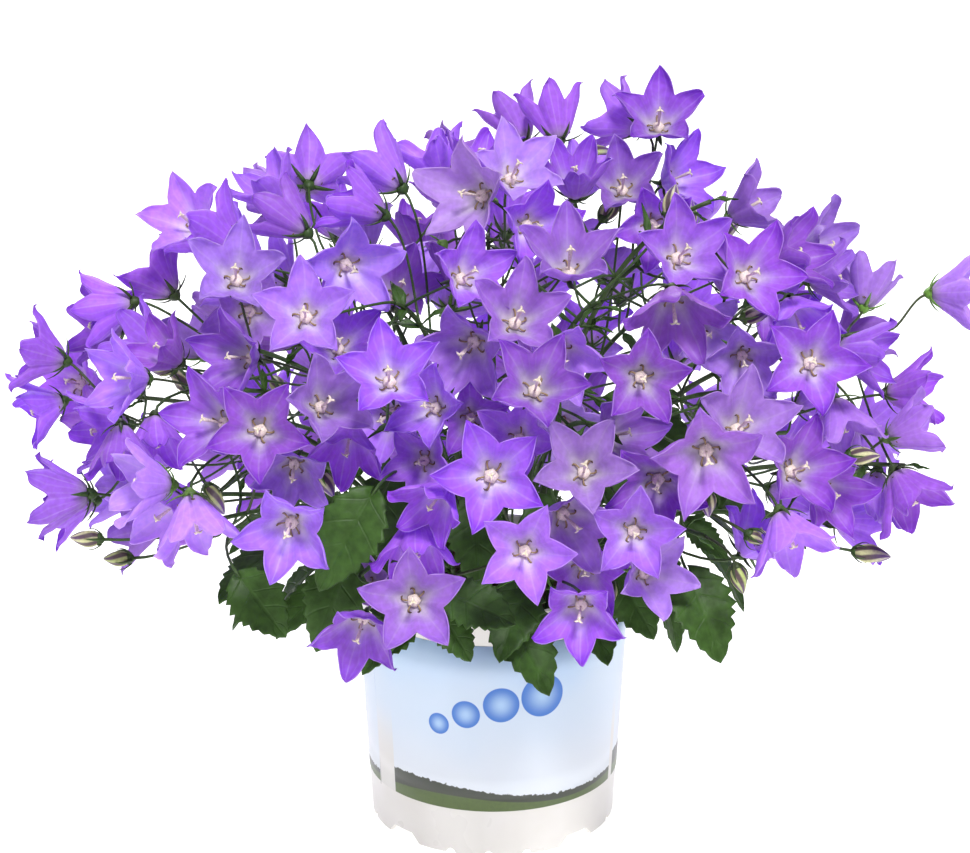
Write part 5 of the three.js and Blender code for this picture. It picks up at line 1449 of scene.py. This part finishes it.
# Printed film, in-mould on the wall: a sky that pales downwards, plain round dots that grow along
# a rising line, and rolling meadow with a dark wood's edge behind it, with a white strip between
# two panels. Layers are painted over each other: every row gives the layer's amount and colour.
def makeLabelMaterial():
    made, tree = newMaterial("printedFilm")
    look = labelPrint
    place = addNode(tree, "UVMap", {}, uv_map="printed")
    parted = addNode(tree, "SeparateXYZ", {0: place})
    across, up = parted.outputs[0], parted.outputs[1]
    clouds = addNode(tree, "TexNoise", {"Vector": place, "Scale": look["clouds"], "Detail": 1.0})
    lean = addNode(tree, "Math", {0: clouds, 1: look["cloudLift"], 2: up}, operation="MULTIPLY_ADD")
    middleSky = addNode(tree, "MapRange", {0: lean, 1: 20.0, 2: 62.0, 3: 0.0, 4: 1.0}, **smoothStep)
    topSky = addNode(tree, "MapRange", {0: lean, 1: 60.0, 2: 96.0, 3: 0.0, 4: 1.0}, **smoothStep)
    layers = [(middleSky, look["skyMiddle"]), (topSky, look["skyTop"])]
    for discAcross, discUp, radius in look["discs"]:
        middle = (discAcross, discUp, 0.0)
        away = addNode(tree, "VectorMath", {0: place, 1: middle}, operation="DISTANCE")
        paling = addNode(tree, "MapRange", {0: away, 1: 0.0, 2: radius, 3: 1.0, 4: 0.0}, **smoothStep)
        tints = {0: paling, 6: look["disc"], 7: look["discMiddle"]}
        tint = addNode(tree, "Mix", tints, **colourMix)
        inside = {0: away, 1: radius - 0.2, 2: radius + 0.2, 3: 1.0, 4: 0.0}
        amount = addNode(tree, "MapRange", inside, **smoothStep)
        layers.append((amount, tint))
    leaves = addNode(tree, "TexNoise", {"Vector": place, "Scale": 0.5, "Detail": 3.0})
    hills = addNode(tree, "Math", {0: across, 1: 0.035, 2: 1.2}, operation="MULTIPLY_ADD")
    hills = addNode(tree, "Math", {0: hills}, operation="SINE")
    hills = addNode(tree, "Math", {0: hills, 1: 3.6, 2: 7.6}, operation="MULTIPLY_ADD")
    woodEdge = addNode(tree, "Math", {0: leaves, 1: 3.0, 2: hills}, operation="MULTIPLY_ADD")
    grass = {0: leaves, 6: look["meadowLow"], 7: look["meadow"]}
    grass = addNode(tree, "Mix", grass, **colourMix)
    meadow = addNode(tree, "Math", {0: across, 1: 0.05}, operation="MULTIPLY")
    meadow = addNode(tree, "Math", {0: meadow}, operation="SINE")
    meadow = addNode(tree, "Math", {0: meadow, 1: 2.0, 2: 4.6}, operation="MULTIPLY_ADD")
    for edge, blur, colour in ((woodEdge, 0.15, look["wood"]), (meadow, 0.3, grass)):
        over = addNode(tree, "Math", {0: up, 1: edge}, operation="SUBTRACT")
        amount = addNode(tree, "MapRange", {0: over, 1: -blur, 2: blur, 3: 1.0, 4: 0.0}, **smoothStep)
        layers.append((amount, colour))
    farSide = addNode(tree, "Math", {0: look["panel"], 1: across}, operation="SUBTRACT")
    seam = addNode(tree, "Math", {0: across, 1: farSide}, operation="MINIMUM")
    strip = addNode(tree, "MapRange", {0: seam, 1: 1.9, 2: 2.2, 3: 1.0, 4: 0.0}, **smoothStep)
    low = addNode(tree, "MapRange", {0: up, 1: 15.0, 2: 45.0, 3: 1.0, 4: 0.0}, **smoothStep)
    strip = addNode(tree, "Math", {0: strip, 1: low}, operation="MULTIPLY")
    layers.append((strip, look["white"]))
    printed = look["skyLow"]
    for amount, colour in layers:
        printed = addNode(tree, "Mix", {0: amount, 6: printed, 7: colour}, **colourMix)
    shine = addNode(tree, "BsdfPrincipled", {
        "Base Color": printed, "Roughness": look["roughness"], "IOR": 1.49, "Coat Weight": 0.3,
        "Coat Roughness": 0.2})
    closeMaterial(tree, shine)
    return made


makeLabel()
print("stage: label")


# Uneven ground: sines of several lengths that cross each other, about one unit high in all
def uneven(x, y):
    total = np.sin(x * 0.31 + 1.3) * np.cos(y * 0.27 + 0.4) + 0.7 * np.sin(x * 0.83 - y * 0.62)
    total += (0.5 * np.sin(x * 1.7 + y * 1.3 + 2) + 0.4 * np.cos(x * 2.9 - y * 2.3)
              + 0.3 * np.sin(x * 4.1 + y * 4.7))
    return total / 2.9


# The soil fills the pot: a ring grid over the top with an uneven crumbly surface, a wall beside
# the pot's and a flat bottom
def makeSoil():
    count = soil["sides"]
    angles = np.arange(count) * 2 * math.pi / count
    gap = pot["wall"] + soil["fitGap"]
    bottom = pot["floorUnderside"] + pot["floorThickness"] + soil["fitGap"]
    edge = potOuter(soil["top"]) - gap
    outs = np.linspace(0, 1, soil["rings"]) ** 0.8 * edge
    rows = [(out, soil["top"]) for out in outs] + [(potOuter(z) - gap, z) for z in (soil["top"] - 3, 60,
        bottom + 2)]
    rows += [(potOuter(bottom) - gap - 2, bottom), (0.0, bottom)]
    profile = np.array(rows)[::-1]
    x, y = profile[:, :1] * np.cos(angles), profile[:, :1] * np.sin(angles)
    onTop = (profile[:, 1:] == soil["top"]) & (profile[:, :1] < edge - 0.1)
    heights = profile[:, 1:] + np.where(onTop, soil["relief"] * uneven(x, y), 0)
    points = np.stack([x, y, heights], axis=-1)
    ground, groundFaces = turnedFaces(points)
    across = edge * np.sqrt(draws.random(soil["crumbs"])) * 0.96
    bearing = draws.uniform(0, 2 * math.pi, soil["crumbs"])
    middle = np.stack([across * np.cos(bearing), across * np.sin(bearing),
        np.full(soil["crumbs"], soil["top"])], axis=1)
    middle[:, 2] += soil["relief"] * uneven(middle[:, 0], middle[:, 1])
    size = draws.uniform(0.5, 1.5, soil["crumbs"])[:, None, None]
    way = unit(draws.uniform(-1, 1, (soil["crumbs"], 3)))
    paths = middle[:, None] + way[:, None] * np.array([-1.0, -0.5, 0.4, 1.0])[:, None] * size
    radii = np.array([0.35, 1.0, 0.9, 0.3])[None, :, None] * draws.uniform(0.7, 1.25,
        (soil["crumbs"], 4, soil["crumbSides"])) * size
    lumps, lumpFaces = makeTubes(paths, radii, soil["crumbSides"], forward=way)
    offsets = len(ground) + np.arange(soil["crumbs"]) * lumps.shape[1]
    faces = np.concatenate([groundFaces, (lumpFaces[None] + offsets[:, None, None]).reshape(-1, 4)])
    return np.concatenate([ground, lumps.reshape(-1, 3)]), faces


peat = {"dark": "#1d140e", "light": "#4a3626", "fibre": "#6b5138", "grain": 700.0, "roughness": 0.95}


# Damp peat: dark brown crumbs with a few paler fibres, quite without gloss
def makePeatMaterial():
    made, tree = newMaterial("dampPeat")
    look = peat
    place = addNode(tree, "TexCoord", {}).outputs["Object"]
    grain = addNode(tree, "TexNoise", {"Vector": place, "Scale": look["grain"], "Detail": 5.0,
        "Roughness": 0.7})
    fibres = addNode(tree, "TexVoronoi", {"Vector": place, "Scale": look["grain"] * 0.6})
    colour = addNode(tree, "Mix", {0: grain, 6: look["dark"], 7: look["light"]}, **colourMix)
    bright = addNode(tree, "MapRange", {0: fibres, 1: 0.0, 2: 0.16, 3: 0.5, 4: 0.0})
    colour = addNode(tree, "Mix", {0: bright, 6: colour, 7: look["fibre"]}, **colourMix)
    bump = addNode(tree, "Bump", {"Strength": 0.9, "Distance": 0.0008, "Height": grain})
    shine = addNode(tree, "BsdfPrincipled", {
        "Base Color": colour, "Roughness": look["roughness"], "IOR": 1.4, "Normal": bump})
    closeMaterial(tree, shine)
    return made


soilPoints, soilFaces = makeSoil()
soilPiece = makePiece("soil_crumbs", soilPoints, soilFaces, [makePeatMaterial()])
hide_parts("soil")
print("stage: soil")

studio = {
    "floor": 12.0, "floorColour": "#f6f6f6", "floorGlow": 0.6, "world": 0.29, "backdrop": 1.0,
    "aim": Vector((0, 0, 0.18)),  # what each light looks at
    "lights": [  # name, place, size and watts
        ("keyLight", (0.4, -1.2, 1.9), 0.5, 42.0),
        ("fillLight", (-1.5, -1.0, 0.9), 1.4, 5.0),
        ("backLight", (-0.2, 1.4, 1.3), 1.0, 20.0),
    ],
}


def makeStudio():
    half = studio["floor"] * 500
    points = np.array([(-half, -half, 0), (half, -half, 0), (half, half, 0), (-half, half, 0)], float)
    made, tree = newMaterial("paleFloor")
    shine = addNode(tree, "BsdfPrincipled", {
        "Base Color": studio["floorColour"], "Roughness": 0.7, "Emission Color": (1, 1, 1, 1),
        "Emission Strength": studio["floorGlow"]})
    closeMaterial(tree, shine.outputs[0])
    mesh = bpy.data.meshes.new("studio_floor")
    mesh.from_pydata((points / 1000).tolist(), [], [(0, 1, 2, 3)])
    mesh.materials.append(made)
    floor = bpy.data.objects.new("studio_floor", mesh)
    bpy.context.scene.collection.objects.link(floor)
    world = bpy.data.worlds.new("paleStudio")
    world.use_nodes = True
    tree = world.node_tree
    seen = addNode(tree, "LightPath", {}).outputs["Is Camera Ray"]
    strength = addNode(tree, "MapRange", {0: seen, 1: 0.0, 2: 1.0, 3: studio["world"],
        4: studio["backdrop"]})
    tree.nodes["Background"].inputs[0].default_value = (1, 1, 1, 1)
    tree.links.new(strength.outputs[0], tree.nodes["Background"].inputs[1])
    bpy.context.scene.world = world
    for name, place, size, watts in studio["lights"]:
        data = bpy.data.lights.new(name, "AREA")
        data.shape = "DISK"
        data.size = size
        data.energy = watts
        light = bpy.data.objects.new(name, data)
        bpy.context.scene.collection.objects.link(light)
        light.location = place
        light.rotation_euler = (studio["aim"] - Vector(place)).to_track_quat("-Z", "Y").to_euler()
    bpy.context.scene.view_settings.view_transform = "Standard"


makeStudio()
